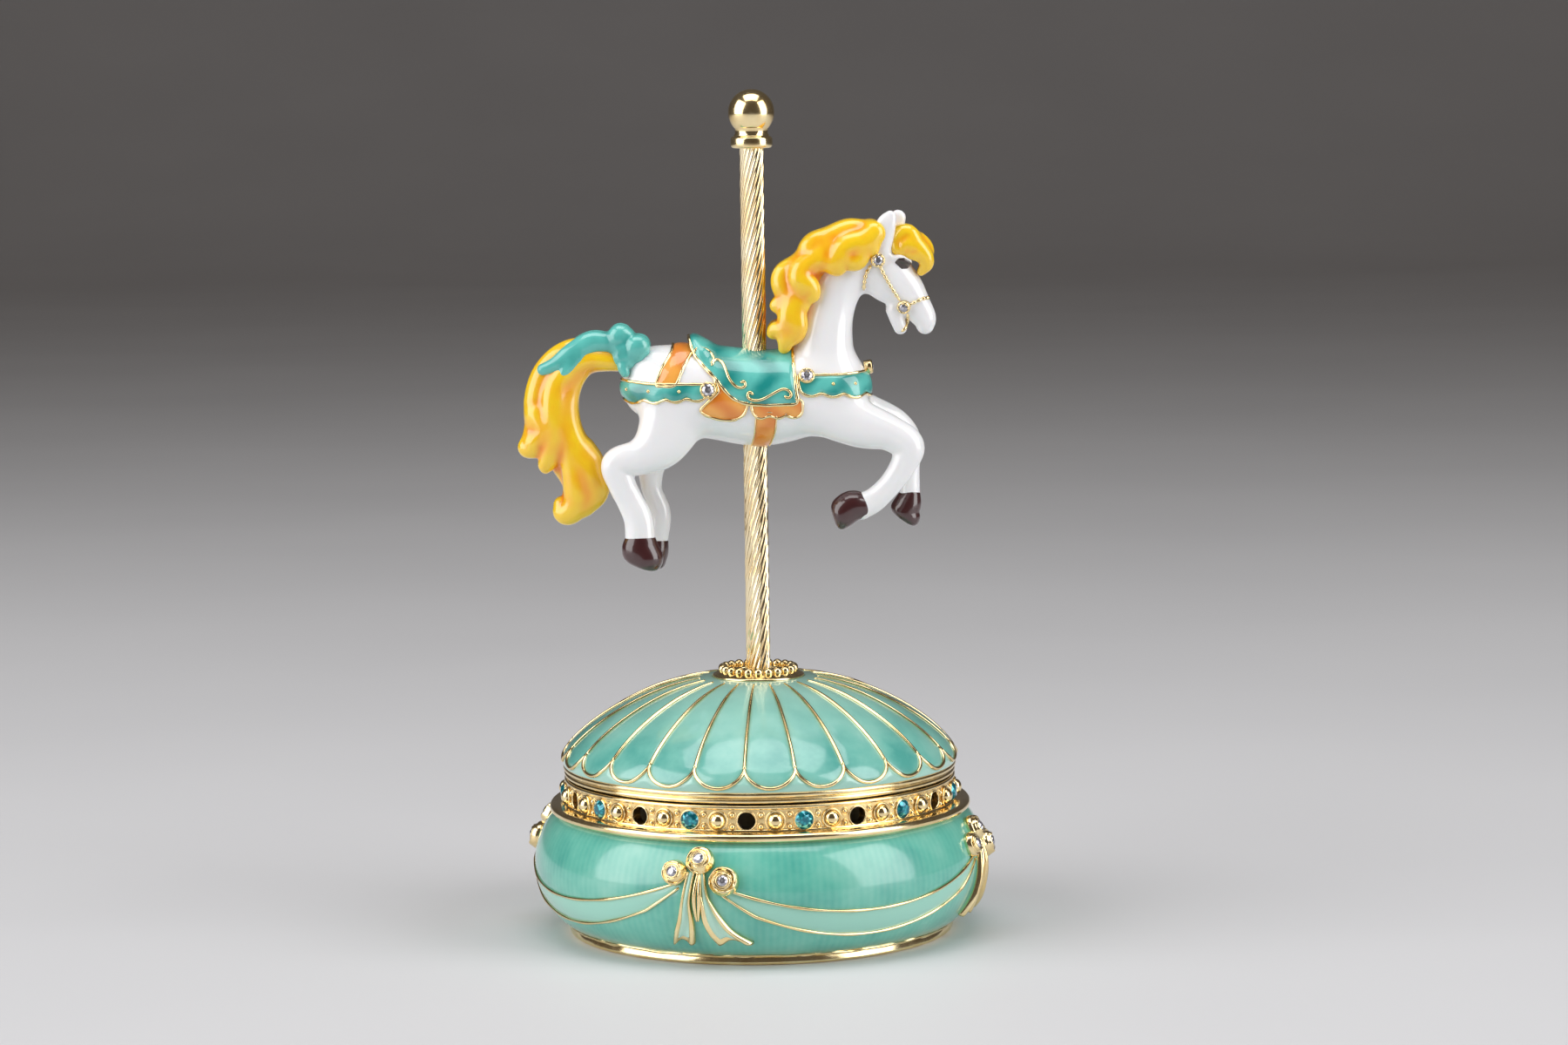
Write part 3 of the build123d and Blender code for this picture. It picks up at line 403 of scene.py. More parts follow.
def glaze_finish(name, deep, body, pale, lines=0, line_strength=0.0, low=0.0, high=1.0, lift=0.0):
    """Glaze in three colours: tone 1 is the pale border glaze; below that the body colour clouds."""
    finish, tree, shader = new_finish(name, Roughness=0.3)
    shader.inputs["Coat Weight"].default_value = 1.0
    shader.inputs["Coat Roughness"].default_value = 0.11
    shader.inputs["Coat IOR"].default_value = 1.5
    angle, split = angle_round(tree)
    clouds = noise(tree, 110, 4, rough=0.55)
    between = tuple(0.5 * (a + b) for a, b in zip(body, pale))
    main = ramp(tree, clouds, [(0.34, deep), (0.52, body), (0.75, between)])
    if lines:
        stripe = reckon(tree, "SINE", reckon(tree, "MULTIPLY", angle, lines))
        soft = reckon(tree, "MULTIPLY", noise(tree, 300, 3), line_strength)
        light_part = reckon(tree, "ADD", reckon(tree, "MULTIPLY", stripe, 0.5), 0.5)
        main = blended(tree, reckon(tree, "MULTIPLY", light_part, soft), main, pale)
    if lift:
        rise = node(tree, "ShaderNodeMapRange", Value=split.outputs["Z"])
        rise.inputs["From Min"].default_value = low * MM
        rise.inputs["From Max"].default_value = high * MM
        rise.inputs["To Max"].default_value = lift
        main = blended(tree, rise.outputs["Result"], main, pale)
    tone = node(tree, "ShaderNodeAttribute", attribute_name="tone").outputs["Fac"]
    tree.links.new(blended(tree, tone, main, pale), shader.inputs["Base Color"])
    bumped(tree, shader, noise(tree, 90, 2), 0.10, 0.0003)
    return finish


bowl_glaze = glaze_finish("bowl glaze", (0.075, 0.42, 0.34), (0.13, 0.52, 0.41), (0.33, 0.68, 0.56),
                          lines=190, line_strength=0.22)
dome_glaze = glaze_finish("dome glaze", (0.085, 0.40, 0.345), (0.17, 0.52, 0.44), (0.40, 0.70, 0.60),
                          low=36.0, high=dome_top, lift=0.75)
print("two glazes")

# %% [markdown]
# The clear and teal stones are cut glass with a foiled back, so they never look empty: light enters,
# bounces off the foil and comes out as bright and dark kites.  A reflecting body under a strong clear
# coat gives real reflections, and the bright and dark kites are also painted into the base colour as a
# painted reflection.  Each facet stays crisp because the stones are not smoothed.


# %% Stones, steel, brass, nylon and felt
def stone_finish(name, dark, light, metallic=0.75):
    finish, tree, shader = new_finish(name, Metallic=metallic, Roughness=0.06)
    shader.inputs["Coat Weight"].default_value = 1.0
    shader.inputs["Coat Roughness"].default_value = 0.01
    cells = node(tree, "ShaderNodeTexVoronoi", Scale=1500.0, Vector=own_place(tree))
    # The bright and dark kites in the base colour are a painted reflection.
    kites = ramp(tree, cells.outputs["Distance"], [(0.1, light), (0.6, dark)])
    tree.links.new(kites, shader.inputs["Base Color"])
    return finish


def metal_finish(name, colour, rough, stripes=0.0, grain=300):
    """Plain bench metal with a little mottle, and drawn or turned lines if asked."""
    finish, tree, shader = new_finish(name, Metallic=1.0)
    worn = noise(tree, grain, 4)
    shade = tuple(c * 0.72 for c in colour)
    tree.links.new(ramp(tree, worn, [(0.3, shade), (0.7, colour)]), shader.inputs["Base Color"])
    spread = node(tree, "ShaderNodeMapRange", Value=worn)
    spread.inputs["To Min"].default_value = rough * 0.7
    spread.inputs["To Max"].default_value = rough * 1.4
    tree.links.new(spread.outputs["Result"], shader.inputs["Roughness"])
    stretch = node(tree, "ShaderNodeMapping", Vector=own_place(tree), Scale=(1, 1 + 9 * stripes, 1))
    bumped(tree, shader, noise(tree, 900, 3, stretch.outputs["Vector"]), 0.25, 0.00008)
    return finish


clear_stone = stone_finish("clear stone", (0.38, 0.37, 0.42), (0.95, 0.95, 1.0))
teal_stone = stone_finish("teal stone", (0.0, 0.16, 0.22), (0.03, 0.50, 0.58), metallic=0.5)
steel = metal_finish("drawn steel", (0.62, 0.62, 0.64), 0.32, stripes=1.0)
spring_steel = metal_finish("blued spring steel", (0.30, 0.33, 0.42), 0.25, stripes=1.0)
zinc = metal_finish("cast zinc", (0.55, 0.56, 0.57), 0.5, grain=160)
brass = metal_finish("turned brass", (0.86, 0.66, 0.30), 0.24, stripes=0.6)


def nylon_finish():
    finish, tree, shader = new_finish("moulded nylon", Roughness=0.45)
    shader.inputs["Subsurface Weight"].default_value = 0.2
    shader.inputs["Subsurface Scale"].default_value = 0.0006
    tree.links.new(ramp(tree, noise(tree, 200, 3), [(0.3, (0.74, 0.71, 0.62)), (0.7, (0.84, 0.82, 0.76))]),
                   shader.inputs["Base Color"])
    bumped(tree, shader, noise(tree, 1200, 3), 0.2, 0.00005)
    return finish


def felt_finish():
    finish, tree, shader = new_finish("black felt", Roughness=0.95)
    shader.inputs["Sheen Weight"].default_value = 0.5
    fibres = noise(tree, 2600, 6, rough=0.7)
    tree.links.new(ramp(tree, fibres, [(0.35, (0.012, 0.012, 0.014)), (0.7, (0.045, 0.045, 0.05))]),
                   shader.inputs["Base Color"])
    bumped(tree, shader, fibres, 0.8, 0.0002)
    return finish


nylon = nylon_finish()
felt = felt_finish()
print("bench metals, nylon and felt")

# %% [markdown]
# ## The bowl
# The bowl is a cast shell with a wall that follows one arc.  A point on its skin is named by how far
# round it is, how high it is and how far it stands off the wall, so that wires, swags and ribbons can
# all be laid on the same curve.

# %% The bowl's wall
WALL_ARC = 12.9
WALL_MID_Z = 12.6
FOOT_TOP = 1.6
ENAMEL_TOP = 21.8
LEDGE_REACH = 37.7
wall_centre = wall_widest - WALL_ARC


def on_bowl(degrees, z, lift=0.0):
    """Points on the bowl's wall: degrees to the right of the front, height, and lift off the wall."""
    degrees, z, lift = np.broadcast_arrays(np.asarray(degrees, float), np.asarray(z, float), lift)
    slope = np.arcsin(np.clip((z - WALL_MID_Z) / WALL_ARC, -1, 1))
    r = wall_centre + (WALL_ARC + lift) * np.cos(slope)
    high = WALL_MID_Z + (WALL_ARC + lift) * np.sin(slope)
    a = np.radians(degrees)
    return np.stack([r * np.sin(a), -r * np.cos(a), high], -1)


# %% [markdown]
# Four garlands hang between four bows.  Each is a band of pale glaze between two gilt wires that sag
# like hanging chains; near its ends it narrows and slips behind the rosettes.  The same two curves
# are used three times: for the wires, for the pale glaze between them and for the way the glaze
# pillows up between wires.

# %% Garland curves
BOW_PLACES = (-15.5, 74.5, 164.5, 254.5)
GARLAND_GAP = 5.0                       # degrees from a bow's middle to where a garland starts
GARLAND_SPAN = 90.0 - 2 * GARLAND_GAP


def garland(share):
    """Heights of the lower and the upper wire along a garland, share running from 0 to 1."""
    hang = 1 - (2 * share - 1) ** 2
    tuck = np.clip(np.minimum(share, 1 - share) * 9, 0, 1)
    upper = 14.9 - 5.3 * hang + 0.5 * share
    lower = upper - 1.0 - 1.2 * tuck - 2.3 * hang
    return lower, upper


def garland_depth(degrees, z):
    """How far inside a garland's band a point is, in millimetres; negative outside it."""
    local = np.mod(np.asarray(degrees) - BOW_PLACES[0] - GARLAND_GAP, 90.0)
    lower, upper = garland(np.clip(local / GARLAND_SPAN, 0, 1))
    inside = np.minimum(z - lower, upper - z)
    return np.where(local <= GARLAND_SPAN, inside, -5.0)


def bowl_skin():
    """The enamelled wall: a fine outer face, pillowed between its wires, a plain back, and its tone."""
    heights = np.linspace(FOOT_TOP - 0.1, ENAMEL_TOP + 0.05, 120)
    turns = np.arange(900) * 360 / 900
    Z, A = np.meshgrid(heights, turns, indexing="ij")
    depth = garland_depth(A, Z)
    near_wire = np.minimum(np.abs(depth), np.minimum(Z - FOOT_TOP, ENAMEL_TOP - Z))
    lift = 0.16 * (1 - np.exp(-np.clip(near_wire, 0, None) / 0.7)) - 0.06
    front = on_bowl(A, Z, lift).reshape(-1, 3)
    back_z, back_a = np.meshgrid(heights[::-12], turns, indexing="ij")
    back = on_bowl(back_a, back_z, -0.4).reshape(-1, 3)
    tone = np.concatenate([np.clip(depth / 0.12 + 0.5, 0, 1).reshape(-1), np.zeros(len(back))])
    rows = len(heights) + len(heights[::-12])
    return (np.vstack([front, back]), grid_faces(rows, len(turns), True, True)), tone


skin, skin_tone = bowl_skin()
piece("bowl_enamel", skin, bowl_glaze, "base", ("bowl",), tone=skin_tone)

# %% [markdown]
# Behind the glaze is the casting itself: a gilt foot ring whose upper edge wavers where the enamel
# stopped, the wall's inside, the shoulders that carry the plates, and the rolled ledge on top.


# %% The gilt casting of the bowl
def arc_profile(radius, z_low, z_high, count, lift=0.0):
    """Points of the wall's arc, from one height to another."""
    z = np.linspace(z_low, z_high, count)
    return [(wall_centre + math.sqrt(radius ** 2 - (h - WALL_MID_Z) ** 2) + lift, h) for h in z]


def rolled(r, z, radius, start, stop, count=14):
    """Points of a rounded edge: an arc about (r, z) from one angle to another, in degrees."""
    t = np.radians(np.linspace(start, stop, count))
    return [(r + radius * math.cos(k), z + radius * math.sin(k)) for k in t]


FOOT_R = 34.1
foot_out = arc_profile(WALL_ARC - 0.12, FOOT_TOP + 0.4, ENAMEL_TOP - 0.1, 30)
ledge = rolled(36.2, 22.62, 0.82, -90, 90, 10)
ledge = [(r + (LEDGE_REACH - 37.02), z) for r, z in ledge]
casting = ([(FOOT_R - 0.5, 0.0)] + rolled(FOOT_R - 0.1, 0.45, 0.42, -80, 20, 6)
           + [(34.25, 1.3), (34.05, 1.7)] + foot_out + [(36.3, 21.75)] + ledge
           + [(34.4, rim_z), (33.2, rim_z), (33.2, 21.0), (31.0, 21.0), (31.0, 19.8)]
           + arc_profile(WALL_ARC - 1.8, 3.9, 19.6, 16)[::-1]
           + [(29.5, 3.9), (29.5, 1.9), (32.2, 1.9), (32.2, 0.0)])
shape = turned(casting, 512)
foot = shape[0]
azimuth = np.arctan2(foot[:, 0], -foot[:, 1])
edge = (np.hypot(foot[:, 0], foot[:, 1]) > 33.6) & (foot[:, 2] > 1.2) & (foot[:, 2] < 2.4)
waver = 0.14 * np.sin(9 * azimuth + 1) + 0.10 * np.sin(23 * azimuth) + 0.07 * np.sin(41 * azimuth + 2)
foot[edge, 2] += waver[edge]
piece("bowl_casting", (foot, shape[1]), gold, "base")


def ragged_edge(z, waver_size, seed):
    """A thin gilt line where glaze meets metal, never quite level."""
    a = np.arange(720) * 360 / 720
    t = np.radians(a)
    wobble = waver_size * (np.sin(7 * t + seed) + 0.6 * np.sin(19 * t + 2 * seed) + 0.5 * np.sin(37 * t))
    return wire(on_bowl(a, z + wobble, 0.05), 0.26, 8, closed=True)


piece("foot_edge", ragged_edge(FOOT_TOP + 0.15, 0.10, 1.3), gold, "base")


def garland_wires():
    """Two gilt wires for each of the four garlands."""
    wires = []
    share = np.linspace(0, 1, 90)
    for place in BOW_PLACES:
        degrees = place + GARLAND_GAP + share * GARLAND_SPAN
        for z in garland(share):
            wires.append(wire(on_bowl(degrees, z, 0.11), 0.26 + 0.04 * np.sin(share * 40 + place), 8))
    return weld(wires)


piece("garland_wires", garland_wires(), gold, "base")

# %% [markdown]
# ## The bows
# Each bow is three roses over two ribbon tails, cast and soldered to the wall.  A rose is a low dome
# with folded petals that spiral out from a stone in its middle; soft lobes break up its edge.

# %% Roses
ROSES = ((-4.3, 16.9, 2.25), (0.1, 18.9, 2.5), (4.5, 15.8, 2.6))       # across, height, radius


def rose(radius, turn=0.0):
    """A little rose on the plane z = 0: a dome of petals that overlap round and round, closed below."""
    rings, sides = 34, 84
    share = np.linspace(0.03, 1.0, rings)
    a = np.arange(sides) * TAU / sides
    S, A = np.meshgrid(share, a, indexing="ij")
    petals, turns = 5, 2.2
    spiral = np.mod(turns * S ** 0.9 - (A + turn) / TAU, 1.0)
    lip = np.exp(-((spiral - 0.6) / 0.22) ** 2) - 0.9 * np.exp(-((spiral - 0.08) / 0.1) ** 2)
    ruffle = 1 + 0.25 * np.cos(petals * A + 9 * S + turn)
    fold = 0.17 * radius * lip * ruffle * np.clip((S - 0.3) * 4, 0, 1) * np.clip((1.03 - S) * 6, 0, 1)
    high = 0.60 * radius * np.sqrt(np.clip(1 - (0.98 * S) ** 3.2, 0, 1)) + fold - 0.05
    r = radius * S * (1 + 0.018 * np.cos(petals * A + turn) + 0.015 * np.cos(2 * A))
    top = np.stack([r * np.cos(A), r * np.sin(A), high], -1).reshape(-1, 3)
    skirt = np.stack([r[-1] * np.cos(a), r[-1] * np.sin(a), 0 * a - 0.7], -1)
    points = np.vstack([top, skirt, [[0, 0, high[0].mean()], [0, 0, -0.7]]])
    faces = grid_faces(rings + 1, sides, False, True).tolist()
    middle, under = len(points) - 2, len(points) - 1
    for k in range(sides):
        faces.append([middle, (k + 1) % sides, k])
        faces.append([under, rings * sides + k, rings * sides + (k + 1) % sides])
    return points, faces


def loop(radius, thickness, z=0.0, sides=8, steps=36):
    """A ring of wire lying flat at height z."""
    t = np.arange(steps) * TAU / steps
    path = np.stack([radius * np.cos(t), radius * np.sin(t), 0 * t + z], -1)
    return wire(path, thickness, sides, closed=True)


# %% [markdown]
# A ribbon tail is a strip that widens as it falls.  Its gilt body has raised edges like a shallow
# tray; the tray is filled with pale enamel.  Both are drawn over the same path, so they stay fitted.

# %% Ribbon tails
TAILS = (                             # across, height, width
    ((-1.2, 17.0, 1.5), (-1.8, 13.8, 1.8), (-2.1, 11.9, 2.0),
     (-2.3, 9.2, 2.9), (-2.7, 7.1, 3.7), (-3.2, 4.8, 4.1)),
    ((0.7, 16.8, 1.1), (1.1, 13.8, 1.5), (1.6, 11.9, 2.3),
     (2.5, 9.2, 3.8), (3.7, 7.1, 4.7), (5.8, 5.0, 6.4)),
)


def smooth_run(stations, count):
    """Evenly resample a short list of stations with a smooth curve through all of them."""
    s = np.asarray(stations, float)
    padded = np.vstack([2 * s[0] - s[1], s, 2 * s[-1] - s[-2]])
    t = np.linspace(0, len(s) - 1 - 1e-6, count)
    k = t.astype(int)
    f = (t - k)[:, None]
    p0, p1, p2, p3 = (padded[k + j] for j in range(4))
    return 0.5 * (2 * p1 + (p2 - p0) * f + (2 * p0 - 5 * p1 + 4 * p2 - p3) * f ** 2
                  + (3 * p1 - p0 - 3 * p2 + p3) * f ** 3)


def near_bow(degrees, across, z, lift):
    """A place near a bow: millimetres across and up, and lift off the wall."""
    r = wall_centre + WALL_ARC * np.cos(np.arcsin((z - WALL_MID_Z) / WALL_ARC))
    return on_bowl(degrees + np.degrees(across / r), z, lift)


TAIL_ROWS = 40
FILLED_ROWS = 36                      # the enamel stops short of the gilt hem


def strip(degrees, tail, reach_share, profile, floor, curl=0.25, rows=TAIL_ROWS):
    """A closed strip along a tail; profile gives the lift across it, floor the lift of its back."""
    run = smooth_run(tail, TAIL_ROWS)[:rows]
    u = np.linspace(-1, 1, len(profile))
    V, U = np.meshgrid(np.arange(rows) / (TAIL_ROWS - 1), u, indexing="ij")
    across = run[:, :1] + U * run[:, 2:] / 2 * reach_share
    notch = np.clip((V - 0.8) / 0.2, 0, 1)
    z = run[:, 1:2] + notch * (0.55 * (1 - np.abs(U)) - 0.12 * np.sin(5 * U)) + 0 * U
    wave = curl * np.sin(U * 2.6 + V * 5) * V
    top = near_bow(degrees, across, z, np.asarray(profile) + wave + 0.15 * V)
    back = near_bow(degrees, across, z, floor + 0 * U)[:, ::-1]
    both = np.concatenate([top, back], 1)
    points = both.reshape(-1, 3)
    cols = both.shape[1]
    faces = grid_faces(len(run), cols, False, True).tolist()
    faces.append(list(range(cols))[::-1])
    faces.append([(len(run) - 1) * cols + k for k in range(cols)])
    return points, faces


TRAY = (0.30, 0.85, 1.02, 0.98, 0.66, 0.50, 0.50, 0.50, 0.50, 0.50, 0.66, 0.98, 1.02, 0.85, 0.30)
FILL = (0.58, 0.70, 0.76, 0.79, 0.80, 0.79, 0.76, 0.70, 0.58)


def bow_pieces():
    """Gilt work, pale enamel and stones of all four bows."""
    gilt, pale, stones, bezels = [], [], [], []
    for degrees in BOW_PLACES:
        for tail in TAILS:
            gilt.append(strip(degrees, tail, 1.0, TRAY, -0.3))
            pale.append(strip(degrees, tail, 0.54, FILL, 0.3, rows=FILLED_ROWS))
        for start, bend, stop in ((0.0, -0.45, -0.25), (0.35, 0.45, 0.05)):
            fold = smooth_run(((start, 16.8), (bend, 12.9), (stop, 9.0)), 24)
            swell = np.sin(np.linspace(0.35, math.pi - 0.1, 24))
            path = near_bow(degrees, fold[:, 0], fold[:, 1], 0.6 + 0.4 * swell)
            gilt.append(wire(path, 0.12 + 0.25 * swell, 10))
        for k, (across, z, radius) in enumerate(ROSES):
            spot = near_bow(degrees, across, z, 0.25)
            out = near_bow(degrees, across, z, 1.25) - spot
            gilt.append(set_at(rose(radius, 1.3 * k), spot, out))
            top = spot + out * (0.60 * radius)
            bezels.append(set_at(loop(1.06, 0.2), top, out))
            bezels.append(set_at(loop(1.4, 0.2, -0.12), top, out))
            stones.append(set_at(cut_stone(0.96), top + out * 0.04, out))
    return weld(gilt + bezels), weld(pale), weld(stones)


bow_gilt, bow_pale, bow_stones = bow_pieces()
piece("bow_roses_and_ribbons", bow_gilt, gold, "base",
      ("bow_front", "bow_right", "bow_back", "bow_left"))
piece("bow_ribbon_enamel", bow_pale, mint_enamel, "base")
piece("bow_cut_stones", bow_stones, clear_stone, "base", ("bow_stones",), smooth=False)

# %% [markdown]
# ## The gallery
# The band under the dome repeats every four steps: sound hole, bead, teal stone, bead.  The band is
# laid out like a strip of square cells.  A plain cell is a small grid; a pierced cell is a ring of
# faces from its square edge to a round hole, and the hole runs through to the inside of the band.

# %% The pierced band
STEPS = 44
STEP_DEG = 360 / STEPS
FIRST_HOLE_DEG = -3.9
BAND_OUT, BAND_IN = 34.8, 33.0
BAND_LOW, BAND_HIGH = rim_z - 0.1, 27.25
BAND_MID = 25.3
HOLE_R = 1.56
SIDE = 8                              # faces along one side of a cell


def cell_points(k, across, up, r):
    """Points of cell k: across in cell widths from its middle, up in millimetres, at radius r."""
    a = np.radians(FIRST_HOLE_DEG + (k + np.asarray(across)) * STEP_DEG)
    return np.stack([r * np.sin(a), -r * np.cos(a), np.asarray(up) + 0 * a], -1)


def square_edge():
    """The outline of a cell, anticlockwise, as (across, up)."""
    s = np.linspace(0, 1, SIDE + 1)[:-1]
    low, high = BAND_LOW, BAND_HIGH
    return np.array([(-0.5 + t, low) for t in s] + [(0.5, low + t * (high - low)) for t in s]
                    + [(0.5 - t, high) for t in s] + [(-0.5, high - t * (high - low)) for t in s])


def pierced_cell(k):
    """One cell with its hole: outer face, tunnel and inner face."""
    edge = square_edge()
    width = math.radians(STEP_DEG) * BAND_OUT
    direction = np.arctan2(edge[:, 1] - BAND_MID, edge[:, 0] * width)
    hole = np.stack([HOLE_R * np.cos(direction) / width, BAND_MID + HOLE_R * np.sin(direction)], -1)
    rings = []
    out_and_in = [(share, BAND_OUT) for share in (0, 0.5, 1)] + [(share, BAND_IN) for share in (1, 0.5, 0)]
    for share, r in out_and_in:
        flat = edge * (1 - share) + hole * share
        rings.append(cell_points(k, flat[:, 0], flat[:, 1], r))
    return np.vstack(rings), grid_faces(6, len(edge), False, True)


def plain_cell(k):
    """One cell with no hole: outer and inner face."""
    s = np.linspace(-0.5, 0.5, SIDE + 1)
    z = np.linspace(BAND_LOW, BAND_HIGH, SIDE + 1)
    Z, S = np.meshgrid(z, s, indexing="ij")
    faces = grid_faces(SIDE + 1, SIDE + 1)
    return weld([(cell_points(k, S, Z, r).reshape(-1, 3), faces) for r in (BAND_OUT, BAND_IN)])


def sewn(shape):
    """Join points that lie in the same place."""
    points, where = np.unique(np.round(shape[0], 5), axis=0, return_inverse=True)
    where = where.reshape(-1)
    return points, [[int(where[i]) for i in f] for f in shape[1]]


def band_shape():
    """The whole band, closed along its top and bottom edges."""
    cells = [pierced_cell(k) if k % 4 == 0 else plain_cell(k) for k in range(STEPS)]
    around = np.arange(STEPS * SIDE) / SIDE - 0.5
    for z in (BAND_LOW, BAND_HIGH):
        edge = np.vstack([cell_points(0, around, z, BAND_OUT), cell_points(0, around, z, BAND_IN)])
        cells.append((edge, grid_faces(2, len(around), False, True)))
    return sewn(weld(cells))


piece("gallery_band", band_shape(), gold_ground, "base", ("gallery_ring",), sharp=40)

# %% [markdown]
# Beads and stones are set over the band.  Each bead sits in a ring of wire; each stone sits in a
# bezel; and two seed beads fill the gaps between neighbours.  Every one of them is the same shape,
# carried round the band by one short loop.

# %% Beads, bezels and teal stones
def at_band(shape, step, z=BAND_MID, r=BAND_OUT):
    """Set a shape on the band at a step number."""
    a = math.radians(FIRST_HOLE_DEG + step * STEP_DEG)
    out = (math.sin(a), -math.cos(a), 0.0)
    return set_at(shape, (r * out[0], r * out[1], z), out)


def gallery_ornaments():
    gilt, stones = [], []
    for k in range(STEPS):
        if k % 4 == 0:
            gilt.append(at_band(loop(HOLE_R + 0.12, 0.17), k))
        elif k % 4 == 2:
            gilt.append(at_band(loop(1.68, 0.2, 0.15), k))
            stones.append(at_band(cut_stone(1.62), k, r=BAND_OUT + 0.22))
        else:
            gilt.append(at_band(bead(1.38, squat=0.8), k, r=BAND_OUT + 0.3))
            gilt.append(at_band(loop(1.62, 0.2, 0.2), k))
        for z in (BAND_MID - 1.0, BAND_MID + 1.0):
            gilt.append(at_band(bead(0.46, 6, 12), k + 0.5, z))
            gilt.append(at_band(loop(0.62, 0.12, 0.0, 6, 16), k + 0.5, z))
    return weld(gilt), weld(stones)


ornament_gilt, teal_stones = gallery_ornaments()
piece("gallery_beads_and_bezels", ornament_gilt, gold, "base")
piece("gallery_teal_stones", teal_stones, teal_stone, "base",
      ("gallery_stones",), smooth=False)
lip = ([(33.0, 27.1), (34.7, 27.1)] + rolled(34.62, 27.6, 0.39, -72, 84, 10)
       + [(34.2, gallery_top), (33.0, gallery_top)])
spigot = [(32.4, 22.2), (33.2, 22.2), (33.2, rim_z + 0.02), (33.0, rim_z + 0.05), (32.5, rim_z)]
fillet = rolled(34.75, rim_z + 0.12, 0.34, -30, 150, 8) + [(34.3, rim_z - 0.05)]
gallery_turnings = weld([turned(lip, 360), turned(spigot, 180), turned(fillet, 360)])
piece("gallery_lip", gallery_turnings, gold, "base")

# %% [markdown]
# ## The dome
# The dome's skin is a vault turned about the pole.  Twenty-four petals run down from the collar, each
# ending in a rounded scallop just above the rim.  The vault's outline is measured along its length,
# so that petals and wires can be drawn flat and then wrapped over it.

# %% The vault
PETALS = 24
PETAL_DEG = 360 / PETALS
FIRST_WIRE_DEG = -4.5
VAULT_FLAT_R = 8.2
VAULT_SPRING_Z = 31.5
ENAMEL_FOOT_Z = 30.25
vault_foot_r = dome_widest - 0.1


def vault_outline():
    """Radius, height and length along the outline, from the collar to the rim."""
    share = 1 - (1 - np.linspace(0, 1, 400)) ** 2
    r = VAULT_FLAT_R + (vault_foot_r - VAULT_FLAT_R) * share
    z = VAULT_SPRING_Z + (dome_top - VAULT_SPRING_Z) * (1 - share ** 1.6) ** 0.75
    r = np.append(r, vault_foot_r + 0.05)
    z = np.append(z, ENAMEL_FOOT_Z)
    length = np.concatenate([[0], np.cumsum(np.hypot(np.diff(r), np.diff(z)))])
    return r, z, length


VAULT_R, VAULT_Z, VAULT_LENGTH = vault_outline()
slope_r = np.gradient(VAULT_R, VAULT_LENGTH)
slope_z = np.gradient(VAULT_Z, VAULT_LENGTH)


def on_dome(degrees, length, lift=0.0):
    """Points on the vault: degrees round, millimetres down from the collar, and lift off the skin."""
    degrees, length, lift = np.broadcast_arrays(np.asarray(degrees, float), np.asarray(length, float), lift)
    r, z = np.interp(length, VAULT_LENGTH, VAULT_R), np.interp(length, VAULT_LENGTH, VAULT_Z)
    dr, dz = np.interp(length, VAULT_LENGTH, slope_r), np.interp(length, VAULT_LENGTH, slope_z)
    size = np.hypot(dr, dz)
    r, z = r - lift * dz / size, z + lift * dr / size
    a = np.radians(degrees)
    return np.stack([r * np.sin(a), -r * np.cos(a), z], -1)


def length_at(z):
    """How far down the vault a height lies."""
    return float(np.interp(-z, -VAULT_Z, VAULT_LENGTH))


CUSP, SCALLOP_END = length_at(34.0), length_at(30.95)
WIRE_START = float(np.interp(10.6, VAULT_R, VAULT_LENGTH))
full_length = float(VAULT_LENGTH[-1])


def scallop(u):
    """Where a petal ends, for u from -1 to 1 across it."""
    return CUSP + (SCALLOP_END - CUSP) * (1 - np.abs(u) ** 2.0) ** 0.58


# %% [markdown]
# Now the same trick as on the bowl: the enamel skin is pillowed between wires, and its tone attribute
# says where the pale border glaze begins.

# %% Petals, their wires and the dome's rim
def dome_skin():
    lengths = np.concatenate([np.linspace(0, CUSP, 90)[:-1], np.linspace(CUSP, full_length, 40)])
    turns = FIRST_WIRE_DEG + np.arange(PETALS * 36) * PETAL_DEG / 36
    L, A = np.meshgrid(lengths, turns, indexing="ij")
    u = np.mod(A - FIRST_WIRE_DEG, PETAL_DEG) / PETAL_DEG * 2 - 1
    r = np.interp(L, VAULT_LENGTH, VAULT_R)
    beside = r * math.radians(PETAL_DEG / 2) * (1 - np.abs(u))
    above = scallop(u) - L
    depth = np.where(L < CUSP, np.minimum(beside, above), above * 0.8)
    near_wire = np.minimum(np.abs(depth), full_length - L + 0.05)
    plump = np.clip((L - WIRE_START) / 12, 0, 1)
    lift = -0.05 + plump * 0.30 * (1 - np.exp(-np.clip(near_wire, 0, None) / 0.9))
    front = on_dome(A, L, lift).reshape(-1, 3)
    back_lengths = lengths[::-8]
    back_l, back_a = np.meshgrid(back_lengths, turns, indexing="ij")
    back = on_dome(back_a, back_l, -0.35).reshape(-1, 3)
    tone = np.clip(0.5 - depth / 0.15, 0, 1) * 0.85
    tone = np.maximum(tone, 0.3 * np.exp(-np.clip(depth, 0, None) / 0.45) * plump)
    tone = np.concatenate([tone.reshape(-1), np.zeros(len(back))])
    rows = len(lengths) + len(back_lengths)
    return (np.vstack([front, back]), grid_faces(rows, len(turns), True, True)), tone


dome_shape, dome_tone = dome_skin()
piece("dome_enamel", dome_shape, dome_glaze, "turning_top", ("dome",), tone=dome_tone)


